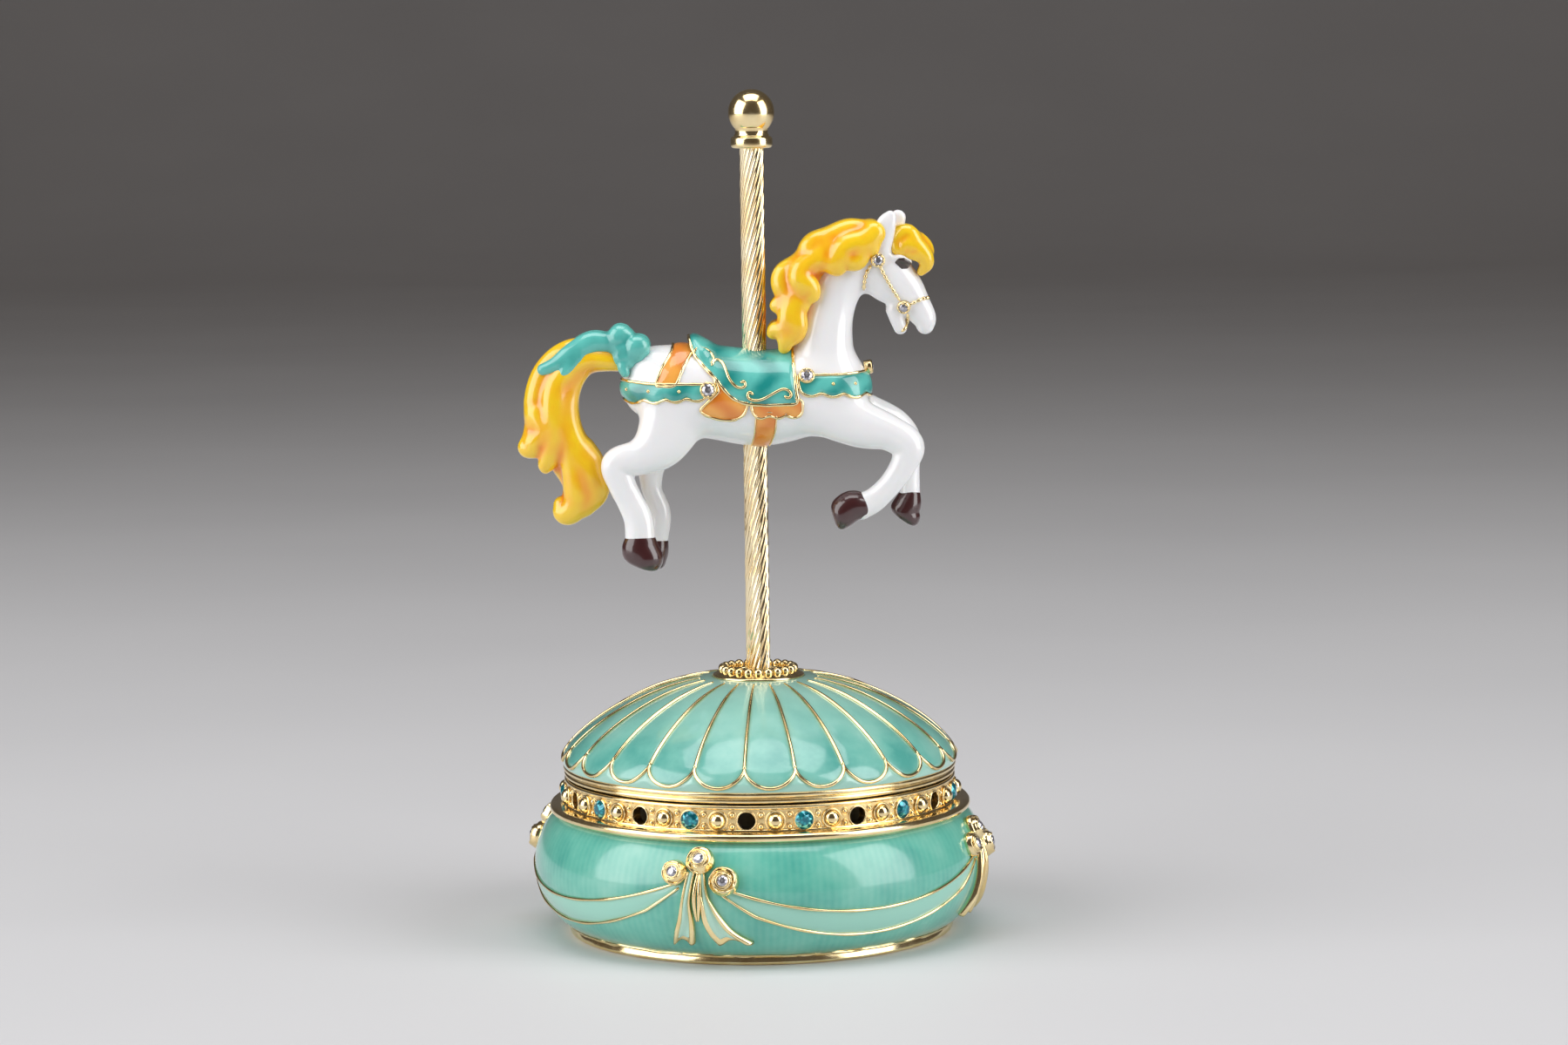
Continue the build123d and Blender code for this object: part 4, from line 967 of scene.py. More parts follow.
def petal_wires():
    """A wire between each two petals, and a scallop round the end of each."""
    wires = []
    down = np.linspace(WIRE_START, CUSP, 70)
    swell = np.clip((down - WIRE_START) / 8, 0, 1)
    u = np.sin(np.linspace(-math.pi / 2, math.pi / 2, 41))
    for k in range(PETALS):
        degrees = FIRST_WIRE_DEG + k * PETAL_DEG
        wires.append(wire(on_dome(degrees, down, 0.02 + 0.12 * swell), 0.14 + 0.18 * swell, 8))
        across = degrees + (u + 1) / 2 * PETAL_DEG
        wires.append(wire(on_dome(across, scallop(u), 0.14), 0.33, 8))
    return weld(wires)


piece("petal_wires", petal_wires(), gold, "turning_top")


def small_post(x, y, radius, low, high, sides=24):
    """A short upright post."""
    outline = np.array([(0.01, low), (radius, low), (radius, high), (0.01, high)])
    points, faces = turned(outline, sides)
    return points + np.array([x, y, 0]), faces


rim_outline = (rolled(34.66, 29.74, 0.52, 110, -68, 14) + [(34.72, 29.16)]
               + rolled(34.58, 28.70, 0.44, 62, -88, 12) + [(33.3, dome_low), (33.3, 30.4)])
inner_vault = [(r - 1.3, z - 1.15) for r, z in zip(VAULT_R[::-30], VAULT_Z[::-30])]
shell = ([(r - 0.1, z - 0.12) for r, z in zip(VAULT_R[::20], VAULT_Z[::20])] + [(34.9, 30.0), (33.3, 30.0)]
         + inner_vault[1:] + [(1.5, dome_top - 1.5), (1.5, dome_top - 0.1)])
bosses = [small_post(25 * math.cos(a), 25 * math.sin(a), 2.2, 30.4, 38.8)
          for a in np.radians((90, 210, 330))]
piece("dome_rim", turned(rim_outline, 512), gold, "turning_top")
piece("dome_shell", weld([turned(shell, 180)] + bosses), gold_ground, "turning_top")

# %% [markdown]
# ## Collar, pole and finial
# The collar is a low flange with a ring of beads round a sunken floor, where the pole goes in.  A
# caster would make it in one piece, beads and all; here the turned flange and its beads are welded.

# %% The collar
COLLAR_BEADS = 22
COLLAR_RING_R = 6.35
collar_outline = ([(2.2, dome_top - 0.3), (7.9, dome_top - 0.3)]
                  + rolled(7.85, dome_top + 0.05, 0.36, -90, 90, 8)
                  + [(7.3, dome_top + 0.85), (5.45, dome_top + 0.95), (5.15, dome_top + 0.7)]
                  + [(5.1, pole_low), (2.2, pole_low)])
collar_beads = []
for k in range(COLLAR_BEADS):
    a = TAU * k / COLLAR_BEADS
    ball = bead(0.86, 8, 14, whole=True)
    place = np.array([COLLAR_RING_R * math.sin(a), -COLLAR_RING_R * math.cos(a), dome_top + 1.25])
    collar_beads.append((ball[0] + place, ball[1]))
piece("collar_gilt", weld([turned(collar_outline, 180)] + collar_beads), gold, "turning_top",
      ("pole_collar",))

# %% [markdown]
# The pole is gilt rod with fifteen rounded ridges that climb round it, as if drawn through a twisting
# die.  Its mesh follows the ridges, so each groove between them is real.  Light chasing, stronger in
# the lower half, makes the ridges slightly uneven and breaks the highlight into flecks.

# %% The twisted pole
FLUTES = 15
FLUTE_LEAD = 39.0                     # height in which a flute goes once round
POLE_R = 1.86


def pole_shape():
    """A rod with rounded ridges that climb round it; the lower half is more chased than the upper."""
    heights = np.arange(pole_low - 0.1, pole_top + 0.2, 0.3)
    per_flute = 9
    a = np.arange(FLUTES * per_flute) * TAU / (FLUTES * per_flute)
    Z, A = np.meshgrid(heights, a, indexing="ij")
    ridge = np.abs(np.cos(A * FLUTES / 2)) ** 0.7
    chased = np.clip((104 - Z) / 14, 0.25, 1)
    fleck = np.sin(Z * 2.3 + 3 * np.sin(A * 3)) * np.sin(A * FLUTES / 2 + 0.6)
    r = POLE_R + 0.30 * ridge + 0.035 * chased * fleck + 0.02 * np.sin(Z * 0.9 + A)
    turn = A + TAU * (Z - pole_low) / FLUTE_LEAD
    points = np.stack([r * np.cos(turn), r * np.sin(turn), Z], -1).reshape(-1, 3)
    faces = grid_faces(len(heights), len(a), False, True).tolist()
    faces.append(list(range(len(a)))[::-1])
    faces.append([(len(heights) - 1) * len(a) + k for k in range(len(a))])
    return points, faces


piece("pole_twist", pole_shape(), gold_pole, "turning_top", ("pole",), sharp=50)

# %% [markdown]
# The finial is turned in one piece: a flange with a rounded edge, a short neck and a ball.

# %% The finial
BALL_R = 4.1
finial_top = pole_top + 10.4
ball_z = finial_top - BALL_R
finial_outline = ([(0.02, pole_top), (2.9, pole_top)] + rolled(3.1, pole_top + 0.62, 0.62, -90, 0, 6)
                  + rolled(3.1, pole_top + 1.5, 0.62, 0, 80, 6)
                  + [(3.15, pole_top + 2.25), (2.92, pole_top + 2.6)]
                  + rolled(0.0, ball_z, BALL_R, -44, 89, 40))
piece("finial_ball", turned(finial_outline, 128), gold, "turning_top", ("finial",))

# %% [markdown]
# ## The horse
# A sculptor would build this horse from clay: roll out limbs, press them together and smooth the joins.
# We do the same with a field, a number at every point of a fine block of space: below zero inside the
# clay, above zero outside.  Two fields join by taking the smaller number, softened where they meet.

# %% A block of modelling space
GRAIN = 0.27                          # size of one cell of the block
BLOCK_LOW = np.array([-44.5, -9.8, 63.0])
BLOCK_HIGH = np.array([34.6, 9.8, 130.6])
BLOCK_CELLS = np.ceil((BLOCK_HIGH - BLOCK_LOW) / GRAIN).astype(int)
AXIS_X, AXIS_Y, AXIS_Z = (BLOCK_LOW[k] + GRAIN * np.arange(BLOCK_CELLS[k]) for k in range(3))
SPREAD = 2.4                          # how far outside the clay a field is worked out


def lump(stations, step=0.45):
    """Clay rolled along stations of (x, y, z, half depth, half width)."""
    field = np.full(BLOCK_CELLS, 9.0, np.float32)
    places = np.asarray(stations, float)
    length = np.linalg.norm(np.diff(places[:, :3], axis=0), axis=1).sum()
    for x, y, z, depth, width in smooth_run(places, int(length / step) + 3):
        reach_out = np.array([depth, width, depth]) + SPREAD
        start = np.floor((np.array([x, y, z]) - reach_out - BLOCK_LOW) / GRAIN).astype(int).clip(0)
        stop = np.ceil((np.array([x, y, z]) + reach_out - BLOCK_LOW) / GRAIN).astype(int)
        spot = tuple(slice(a, b) for a, b in zip(start, stop))
        far = np.sqrt(((AXIS_X[spot[0]] - x) ** 2)[:, None, None] / depth ** 2
                      + ((AXIS_Y[spot[1]] - y) ** 2)[None, :, None] / width ** 2
                      + ((AXIS_Z[spot[2]] - z) ** 2)[None, None, :] / depth ** 2)
        field[spot] = np.minimum(field[spot], (far - 1) * min(depth, width))
    return field


def pressed(a, b, soft):
    """Two lumps of clay pressed together, with a soft join."""
    share = np.clip(0.5 + 0.5 * (b - a) / soft, 0, 1)
    return b * (1 - share) + a * share - soft * share * (1 - share)


# %% [markdown]
# Each limb is a short list of stations down its middle: place, half depth seen from the side, half
# width seen from the front.  The legs of a jumper are all different, so each has its own list.

# %% Body, neck and head
BARREL = ((-17.2, 0, 97.9, 6.4, 5.2), (-13.2, 0, 97.2, 7.9, 7.2), (-6.0, 0, 96.0, 8.1, 7.9),
          (1.0, 0, 95.1, 8.3, 7.9), (8.0, 0, 95.8, 7.6, 7.4), (14.0, 0, 96.5, 6.6, 6.2))
DOCK = ((-18.0, 0, 101.2, 3.0, 3.0), (-21.2, 0, 102.2, 1.9, 1.9), (-23.5, 0, 103.0, 1.5, 1.6))
NECK = ((12.0, 0, 98.5, 6.6, 5.4), (12.3, 0, 104.5, 5.3, 4.5), (13.3, 0, 110.0, 4.4, 3.7),
        (14.8, 0, 114.8, 4.4, 3.3), (17.8, 0, 118.4, 4.3, 3.1), (20.5, 0, 120.2, 3.6, 2.8))
HEAD = ((20.8, 0, 120.0, 3.3, 2.6), (23.2, 0, 117.3, 4.6, 3.2), (26.2, 0, 114.6, 3.8, 2.8),
        (28.6, 0, 111.6, 2.8, 2.2), (30.2, 0, 109.3, 2.15, 1.9), (30.4, 0, 107.9, 1.6, 1.65))
JAW = ((25.1, 0, 110.8, 1.7, 1.9), (25.5, 0, 108.9, 1.35, 1.5), (26.0, 0, 107.5, 1.2, 1.3))
NEAR_EAR = ((22.9, -1.9, 121.8, 1.6, 1.2), (23.0, -2.2, 124.0, 2.0, 1.0), (23.6, -2.3, 126.0, 1.75, 0.9),
            (24.3, -2.3, 127.3, 1.1, 0.7))
FAR_EAR = ((23.7, 1.9, 121.6, 1.5, 1.1), (24.9, 2.2, 124.7, 1.8, 0.9), (25.8, 2.3, 126.9, 1.45, 0.8))

torso = pressed(lump(BARREL), lump(DOCK), 2.0)
torso = pressed(torso, lump(NECK), 2.2)
clay = pressed(torso, lump(HEAD), 1.2)
clay = pressed(clay, lump(JAW), 0.5)
print("block of", BLOCK_CELLS, "cells")

# %% [markdown]
# Each leg starts wide inside the barrel, so that the join makes a shoulder or a thigh, and narrows
# past the knee or hock.  The near legs have negative y.  Ears and brow are smaller lumps, pressed on
# with a sharper join than the legs.

# %% Legs
NEAR_FORE = ((12.5, -3.6, 93.8, 5.2, 3.4), (18.6, -4.2, 90.8, 4.2, 3.0), (23.6, -4.4, 89.2, 3.2, 2.5),
             (26.9, -4.5, 86.9, 3.0, 2.4), (26.3, -4.5, 83.9, 2.4, 2.1), (23.9, -4.5, 80.2, 2.1, 1.9),
             (21.0, -4.5, 77.4, 2.2, 1.9), (18.6, -4.5, 76.2, 2.4, 2.0))
FAR_FORE = ((12.5, 3.6, 93.8, 5.2, 3.4), (19.4, 4.2, 91.8, 3.9, 2.9), (24.8, 4.4, 89.8, 3.0, 2.4),
            (27.2, 4.5, 86.6, 2.6, 2.2), (27.6, 4.5, 82.4, 1.8, 1.7), (27.6, 4.5, 78.4, 1.8, 1.7),
            (27.4, 4.5, 76.4, 2.0, 1.8))
NEAR_HIND = ((-13.5, -3.6, 94.5, 6.4, 3.8), (-16.6, -4.2, 88.2, 4.7, 3.2), (-20.2, -4.5, 85.6, 3.3, 2.5),
             (-24.5, -4.5, 84.2, 2.8, 2.2), (-23.7, -4.5, 80.6, 2.5, 2.0), (-22.3, -4.5, 77.6, 2.4, 1.9),
             (-20.9, -4.5, 74.4, 2.6, 2.1), (-20.6, -4.5, 70.6, 2.7, 2.2))
FAR_HIND = ((-13.5, 3.6, 94.5, 6.2, 3.8), (-16.2, 4.2, 88.4, 4.4, 3.2), (-18.4, 4.5, 84.4, 2.8, 2.4),
            (-18.7, 4.5, 79.2, 1.9, 1.8), (-17.2, 4.5, 74.6, 1.9, 1.8), (-17.9, 4.5, 69.4, 2.0, 1.9))
for leg in (NEAR_FORE, FAR_FORE, NEAR_HIND, FAR_HIND):
    clay = pressed(clay, lump(leg), 1.8)
for ear in (NEAR_EAR, FAR_EAR):
    clay = pressed(clay, lump(ear), 0.7)
brow = lump(((24.6, -2.2, 119.7, 0.6, 0.6), (26.0, -2.45, 120.0, 0.65, 0.65),
             (27.6, -2.1, 119.3, 0.55, 0.55)))
clay = pressed(clay, np.minimum(brow, brow[:, ::-1, :]), 0.5)

# %% [markdown]
# A field has no faces.  The skin is found cell by cell: wherever a cell of the block has corners both
# inside and outside the clay, it gets one point, at the mean of the places where its edges cross zero.
# Neighbouring cells' points make the faces.  A little relaxing then takes away the block's steps.


# %% From clay to skin
def sampled(field, points):
    """The field's value at any points, blended between grid corners."""
    place = (points - BLOCK_LOW) / GRAIN
    cell = np.clip(place.astype(int), 0, BLOCK_CELLS - 2)
    part = place - cell
    total = 0
    for corner in np.ndindex(2, 2, 2):
        share = np.prod(np.where(corner, part, 1 - part), axis=1)
        i, j, k = (cell + corner).T
        total = total + share * field[i, j, k]
    return total


def outward_of(field, points):
    """The direction straight out of the clay at any points."""
    steps = 0.3 * np.eye(3)
    slope = np.stack([sampled(field, points + s) - sampled(field, points - s) for s in steps], -1)
    return slope / np.maximum(np.linalg.norm(slope, axis=1), 1e-9)[:, None]


def relaxed(points, faces, rounds, share=0.5):
    """Move every point part of the way to the mean of its neighbours."""
    edges = np.vstack([faces[:, [k, (k + 1) % 4]] for k in range(4)])
    a, b = np.concatenate([edges[:, 0], edges[:, 1]]), np.concatenate([edges[:, 1], edges[:, 0]])
    number = np.bincount(a, minlength=len(points))[:, None]
    for _ in range(rounds):
        mean = np.stack([np.bincount(a, points[b, k], len(points)) for k in range(3)], -1) / number
        points = points + share * (mean - points)
    return points


def skin_of(field, settle=3):
    """Points and quads of the surface where a field is zero."""
    inside = field < 0
    nx, ny, nz = (n - 1 for n in field.shape)
    count = sum(inside[i:nx + i, j:ny + j, k:nz + k].astype(np.int8) for i, j, k in np.ndindex(2, 2, 2))
    mixed = (count > 0) & (count < 8)
    cells = np.argwhere(mixed)
    number = np.full(mixed.shape, -1)
    number[mixed] = np.arange(len(cells))
    total, hits = np.zeros((len(cells), 3)), np.zeros((len(cells), 1))
    faces = []
    for axis in range(3):
        along = np.eye(3, dtype=int)[axis]
        u, v = np.eye(3, dtype=int)[(axis + 1) % 3], np.eye(3, dtype=int)[(axis + 2) % 3]
        for corner in (0 * u, u, v, u + v):
            a, b = field[tuple((cells + corner).T)], field[tuple((cells + corner + along).T)]
            crossed = (a < 0) != (b < 0)
            share = (a / np.where(crossed, a - b, 1))[:, None]
            total += np.where(crossed[:, None], corner + share * along, 0)
            hits += crossed[:, None]
        step_in = np.roll(inside, -1, axis) != inside
        ends = np.argwhere(step_in)
        ends = ends[(ends.min(1) > 0) & (ends < np.array(mixed.shape)).all(1)]
        quad = [number[tuple((ends - s).T)] for s in (0 * u, u, u + v, v)]
        faces.append(np.stack(quad, -1))
    faces = np.vstack(faces)
    faces = faces[(faces >= 0).all(1)]
    points = BLOCK_LOW + GRAIN * (cells + total / hits)
    for _ in range(settle):
        points = relaxed(points, faces, 1)
        slip = np.clip(sampled(field, points), -0.2, 0.2)[:, None]
        points = points - slip * outward_of(field, points)
    return points, faces


horse_skin = skin_of(clay)
piece("horse_white", horse_skin, white_enamel, "turning_top", ("horse_body",))

# %% [markdown]
# Hooves are dark, glassy enamel.  Each is a short thick lump at the end of a leg, cut off flat at the
# sole, and a touch larger than the leg so that it meets the white with a crisp step.

# %% Hooves
HOOVES = (                            # stations, a point on the sole, the way the sole faces
    (((18.6, -4.5, 76.3, 2.3, 2.2), (16.9, -4.5, 76.2, 2.8, 2.6), (15.3, -4.5, 75.0, 2.7, 2.7),
      (14.7, -4.5, 74.0, 2.1, 2.3)),
     (13.4, 74.6), (-0.95, -0.3)),
    (((27.6, 4.5, 77.0, 1.9, 1.9), (27.1, 4.5, 75.4, 2.5, 2.3), (26.5, 4.5, 74.0, 2.6, 2.5),
      (27.2, 4.5, 73.2, 2.2, 2.3)),
     (26.0, 72.6), (-0.6, -0.8)),
    (((-20.6, -4.5, 70.0, 2.9, 2.4), (-20.6, -4.5, 68.7, 3.3, 2.7), (-19.6, -4.5, 67.4, 3.0, 2.9)),
     (-20.6, 65.4), (-0.3, -0.95)),
    (((-17.9, 4.5, 69.0, 2.1, 2.0), (-18.4, 4.5, 67.6, 2.6, 2.3), (-18.6, 4.5, 66.2, 2.4, 2.4)),
     (-19.4, 64.4), (-0.3, -0.95)),
)


def hoof_field(stations, spot, way):
    """A hoof cut flat at its sole; the sole's edge is slightly soft."""
    way = np.array(way) / np.linalg.norm(way)
    beyond = (AXIS_X[:, None] - spot[0]) * way[0] + (AXIS_Z[None, :] - spot[1]) * way[1]
    return -pressed(-lump(stations), -beyond[:, None, :], 1.3)


hooves = weld([skin_of(hoof_field(*hoof)) for hoof in HOOVES])
piece("hooves", hooves, hoof_enamel, "turning_top")

# %% [markdown]
# Mane and tail are made like the limbs, but from many wavy locks pressed together only lightly, so
# that grooves stay between them.  The tone attribute is read from the shape itself: how far each point
# stands above its smoothed surroundings.  It gives the grooves the deep colour, partly the enamel
# pooling off the ridges and partly painted shade.


# %% Locks of hair
def lock(stations, swing=0.45, waves=1.6, phase=0.0):
    """Stations with more points and a side-to-side wave, for one lock of hair."""
    run = smooth_run([s if len(s) == 5 else (*s, s[-1] * 0.9) for s in stations], 16)
    t = np.linspace(0, 1, 16)
    along = np.gradient(run[:, [0, 2]], axis=0)
    along /= np.linalg.norm(along, axis=1)[:, None]
    wave = swing * np.sin(TAU * waves * t + phase)
    run[:, 0] -= along[:, 1] * wave
    run[:, 2] += along[:, 0] * wave
    swell = 1 + 0.05 * np.sin(TAU * waves * t + phase + 1.2)
    run[:, 3] *= swell
    run[:, 4] *= swell
    return run


def hair(locks, soft):
    """Many locks pressed lightly together."""
    field = None
    for k, stations in enumerate(locks):
        strand = lump(lock(stations, phase=1.7 * k))
        field = strand if field is None else pressed(field, strand, soft)
    return field


def groove_shade_tone(shape, field, depth=0.3):
    """0 on the ridges, 1 in the grooves, where the deep colour is partly enamel pooling and partly painted
    shade.
    """
    points, faces = shape
    smooth_points = relaxed(points, faces, 40)
    above = ((points - smooth_points) * outward_of(field, points)).sum(1)
    return np.clip(0.42 - above / depth, 0, 1)


MANE = (
    ((21.4, -2.5, 124.4, 2.1), (17.8, -3.2, 122.4, 2.5), (14.8, -3.4, 120.2, 2.2), (12.2, -3.5, 119.4, 1.5)),
    ((20.6, -1.0, 125.4, 1.9), (16.8, -1.4, 124.4, 2.1), (12.8, -1.8, 123.6, 2.2), (10.0, -2.4, 121.8, 1.6)),
    ((20.8, -3.0, 121.6, 1.6), (17.6, -3.6, 119.8, 1.7), (14.8, -3.7, 118.8, 1.4)),
    ((13.2, -2.4, 121.2, 2.3), (9.6, -3.0, 119.4, 2.3), (8.8, -3.6, 116.4, 2.3), (10.0, -3.7, 113.8, 1.7)),
    ((9.4, -1.4, 120.6, 2.0), (5.8, -1.9, 117.4, 2.0), (5.6, -2.2, 113.8, 2.1), (4.4, -2.4, 111.6, 1.3)),
    ((8.0, -3.0, 114.0, 2.3), (6.6, -3.2, 110.2, 2.1), (5.0, -3.0, 107.8, 1.9), (3.4, -2.6, 106.9, 1.1)),
    ((8.4, -3.4, 111.6, 1.8), (7.2, -3.6, 108.2, 1.9), (6.2, -3.5, 105.6, 1.6), (5.0, -3.2, 104.7, 1.0)),
)
FORELOCK = (
    ((25.2, -0.9, 122.4, 1.6), (27.4, -1.3, 124.0, 1.7), (29.3, -1.6, 122.2, 1.7), (30.2, -1.5, 119.4, 1.4),
     (30.0, -1.2, 117.4, 0.8)),
    ((26.2, 0.0, 124.0, 1.4), (28.6, 0.0, 123.8, 1.5), (30.4, 0.0, 120.8, 1.4), (30.9, 0.0, 118.6, 0.9)),
    ((25.8, -1.7, 121.6, 1.3), (27.4, -2.1, 121.8, 1.2), (28.2, -2.1, 120.2, 0.8)),
)
MANE_CORE = ((8.0, 0, 106.5, 2.2, 3.2), (7.6, 0, 112.0, 2.8, 3.4), (10.4, 0, 118.4, 2.9, 3.2),
             (15.0, 0, 121.6, 2.8, 3.0), (20.6, 0, 123.2, 2.5, 2.4))
mane_field = pressed(hair(MANE, 0.95), lump(MANE_CORE), 0.8)
mane_field = pressed(mane_field, hair(FORELOCK, 0.8), 0.3)
mane_field = np.minimum(mane_field, mane_field[:, ::-1, :])
mane_field = np.maximum(mane_field, -(clay + 0.5))
mane_skin = skin_of(mane_field, settle=2)
piece("horse_mane_locks", mane_skin, yellow_enamel, "turning_top", ("horse_mane",),
      tone=groove_shade_tone(mane_skin, mane_field))

# %% [markdown]
# The tail is made as the mane is.  Three long locks start together at the dock, and three shorter ones
# start lower down, where the tail spreads.  One plainer lump down the middle fills the space between
# the locks of the two sides.

# %% The tail
TAIL = (
    ((-22.6, 0.0, 102.8, 1.9), (-27.2, -0.3, 104.6, 2.1), (-32.4, -0.4, 104.0, 2.3),
     (-36.4, -0.4, 100.4, 2.4), (-38.7, -0.4, 95.4, 2.4), (-39.2, -0.6, 90.4, 2.3), (-40.2, -0.8, 87.0, 1.8)),
    ((-24.0, -1.5, 102.6, 1.6), (-30.0, -1.8, 102.4, 2.0), (-34.4, -2.0, 98.4, 2.3), (-35.8, -2.2, 93.4, 2.4),
     (-36.0, -2.2, 88.4, 2.4), (-36.6, -2.0, 84.6, 1.8), (-37.0, -1.8, 83.4, 1.1)),
    ((-24.4, -0.6, 101.8, 1.3), (-29.8, -1.0, 100.8, 1.6), (-33.2, -1.4, 96.2, 2.0), (-33.7, -1.8, 91.0, 2.2),
     (-31.6, -2.2, 86.6, 2.2), (-29.4, -2.4, 83.0, 2.3), (-28.7, -2.2, 79.4, 2.0), (-30.6, -1.8, 76.6, 1.5)),
    ((-38.2, -1.6, 93.0, 1.9), (-38.0, -2.0, 89.6, 2.1), (-39.0, -1.8, 87.4, 1.9), (-40.6, -1.4, 87.4, 1.3)),
    ((-34.4, -1.2, 90.0, 2.4), (-33.0, -2.0, 86.0, 2.4), (-31.6, -2.2, 82.0, 2.4), (-31.8, -2.0, 78.0, 2.4),
     (-33.8, -1.4, 75.6, 2.2), (-34.9, -0.8, 76.4, 1.6)),
    ((-30.6, -1.6, 86.2, 2.0), (-28.4, -2.2, 84.6, 1.7), (-27.6, -2.4, 81.6, 1.4), (-28.4, -2.2, 78.6, 1.6),
     (-30.8, -1.2, 76.4, 1.8), (-33.2, -0.8, 75.6, 1.7)),
)
tail_field = hair(TAIL, 0.9)
tail_field = np.minimum(tail_field, tail_field[:, ::-1, :])
tail_field = pressed(tail_field, lump(((-36.6, 0, 93.0, 3.0, 2.4), (-34.4, 0, 87.0, 3.6, 2.4),
                                       (-31.4, 0, 81.0, 3.2, 2.4), (-32.4, 0, 76.4, 2.4, 2.0))), 0.4)
tail_field = np.maximum(tail_field, -(clay + 0.5))
tail_skin = skin_of(tail_field, settle=2)
piece("horse_tail_locks", tail_skin, yellow_enamel, "turning_top", ("horse_tail",),
      tone=groove_shade_tone(tail_skin, tail_field))

# %% [markdown]
# A sash is knotted round the tail's root.  It is softer than hair: three round loops and one flat end
# that lies along the tail and splits at its tip.

# %% The sash on the tail
KNOT = (
    ((-23.0, -1.6, 104.6, 2.0), (-24.2, -1.8, 106.2, 2.0), (-22.8, -1.8, 106.8, 1.7)),
    ((-22.6, -2.0, 103.8, 2.0), (-20.9, -2.4, 104.6, 2.1), (-20.4, -2.4, 103.6, 1.6)),
    ((-23.6, -2.2, 103.4, 1.6), (-22.6, -2.6, 102.4, 1.4), (-23.2, -3.2, 100.4, 0.8)),
)
SASH = (
    ((-24.2, -1.2, 105.0, 1.5, 1.5), (-28.4, -1.6, 105.6, 2.1, 1.7), (-32.2, -2.2, 103.8, 1.9, 1.5),
     (-35.0, -2.3, 101.9, 1.5, 1.3), (-37.4, -2.2, 101.0, 1.1, 1.0)),
    ((-31.4, -2.6, 102.8, 1.5, 1.1), (-33.4, -3.0, 100.8, 1.2, 1.0), (-34.4, -3.0, 99.2, 0.6, 0.7)),
)
sash_field = hair(KNOT, 0.4)
for end in SASH:
    sash_field = pressed(sash_field, lump(end), 0.6)
sash_field = np.minimum(sash_field, sash_field[:, ::-1, :])
sash_skin = skin_of(sash_field, settle=2)
piece("tail_sash", sash_skin, teal_enamel, "turning_top",
      tone=groove_shade_tone(sash_skin, sash_field, 0.5))

# %% [markdown]
# ## Saddle and harness
# Saddle, pads and bands are enamel poured between gilt wires on the horse's side.  Each is drawn as an
# outline seen from the side, and then cut out of a thin shell that stands on the clay.  Because the
# shell is the clay itself, slightly swollen, the bands wrap round the chest and rump by themselves.


# %% Outlines on the horse's side
def scallops(start, stop, count, drop):
    """A run of hanging scallops from one (x, z) to another."""
    t = np.linspace(0, 1, count * 6 + 1)
    hang = drop * np.abs(np.sin(math.pi * count * t)) ** 0.7
    return [(start[0] + (stop[0] - start[0]) * k, start[1] + (stop[1] - start[1]) * k - h)
            for k, h in zip(t, hang)]


def outline_distance(outline):
    """How far each (x, z) of the block is from an outline, negative inside it."""
    p = np.asarray(outline, float)
    X, Z = np.meshgrid(AXIS_X, AXIS_Z, indexing="ij")
    nearest = np.full(X.shape, 1e9)
    inside = np.zeros(X.shape, bool)
    for (x0, z0), (x1, z1) in zip(p, np.roll(p, -1, 0)):
        dx, dz = x1 - x0, z1 - z0
        t = np.clip(((X - x0) * dx + (Z - z0) * dz) / (dx * dx + dz * dz), 0, 1)
        nearest = np.minimum(nearest, np.hypot(X - x0 - t * dx, Z - z0 - t * dz))
        spans = (z0 > Z) != (z1 > Z)
        with np.errstate(divide="ignore", invalid="ignore"):
            inside ^= spans & (X < x0 + (Z - z0) * dx / dz)
    return np.where(inside, -nearest, nearest)


SADDLE = [(-12.4, 109.0), (-10.6, 103.5), (-9.2, 101.7), (-7.7, 100.2), (-6.6, 99.0), (-5.3, 97.3),
          (-3.8, 95.8), (-1.6, 94.9), (1.5, 94.6), (7.7, 94.7), (7.3, 97.0), (6.9, 101.0), (6.7, 109.0)]
SKIRT = [(8.4, 95.6)] + scallops((8.4, 93.1), (-0.4, 93.1), 3, 0.9) + [(-0.9, 95.6)]
LEAF = [(-7.2, 99.6), (-6.2, 97.0), (-7.6, 95.9), (-10.0, 93.7), (-8.2, 92.7), (-6.0, 92.1), (-3.8, 92.0),
        (-2.0, 92.8), (-1.3, 94.4), (-1.4, 95.6), (-4.0, 97.0), (-6.2, 99.8)]
GIRTH = [(0.2, 93.4), (3.9, 93.4), (3.5, 89.6), (2.3, 86.4), (1.6, 83.0), (-1.8, 83.0), (-0.9, 86.4),
         (-0.1, 89.4)]
STRAP = [(-13.6, 109.0), (-11.2, 109.0), (-11.0, 103.8), (-12.4, 101.6), (-13.9, 98.0), (-17.6, 98.0),
         (-16.3, 101.2), (-14.6, 103.8)]
REAR_BAND = [(-27.0, 99.3), (-18.7, 98.5), (-8.3, 98.4)] + scallops((-8.3, 96.4), (-27.0, 95.6), 5, 0.9)
BREAST_BAND = ([(7.5, 99.9), (10.6, 99.7), (15.2, 99.7), (23.5, 100.3)]
               + scallops((23.5, 96.2), (7.9, 97.0), 4, 0.9))

# %% [markdown]
# The wire that edges each piece runs where its outline crosses the skin.  Walking from face to face
# along that crossing gives closed loops that go right round the horse.


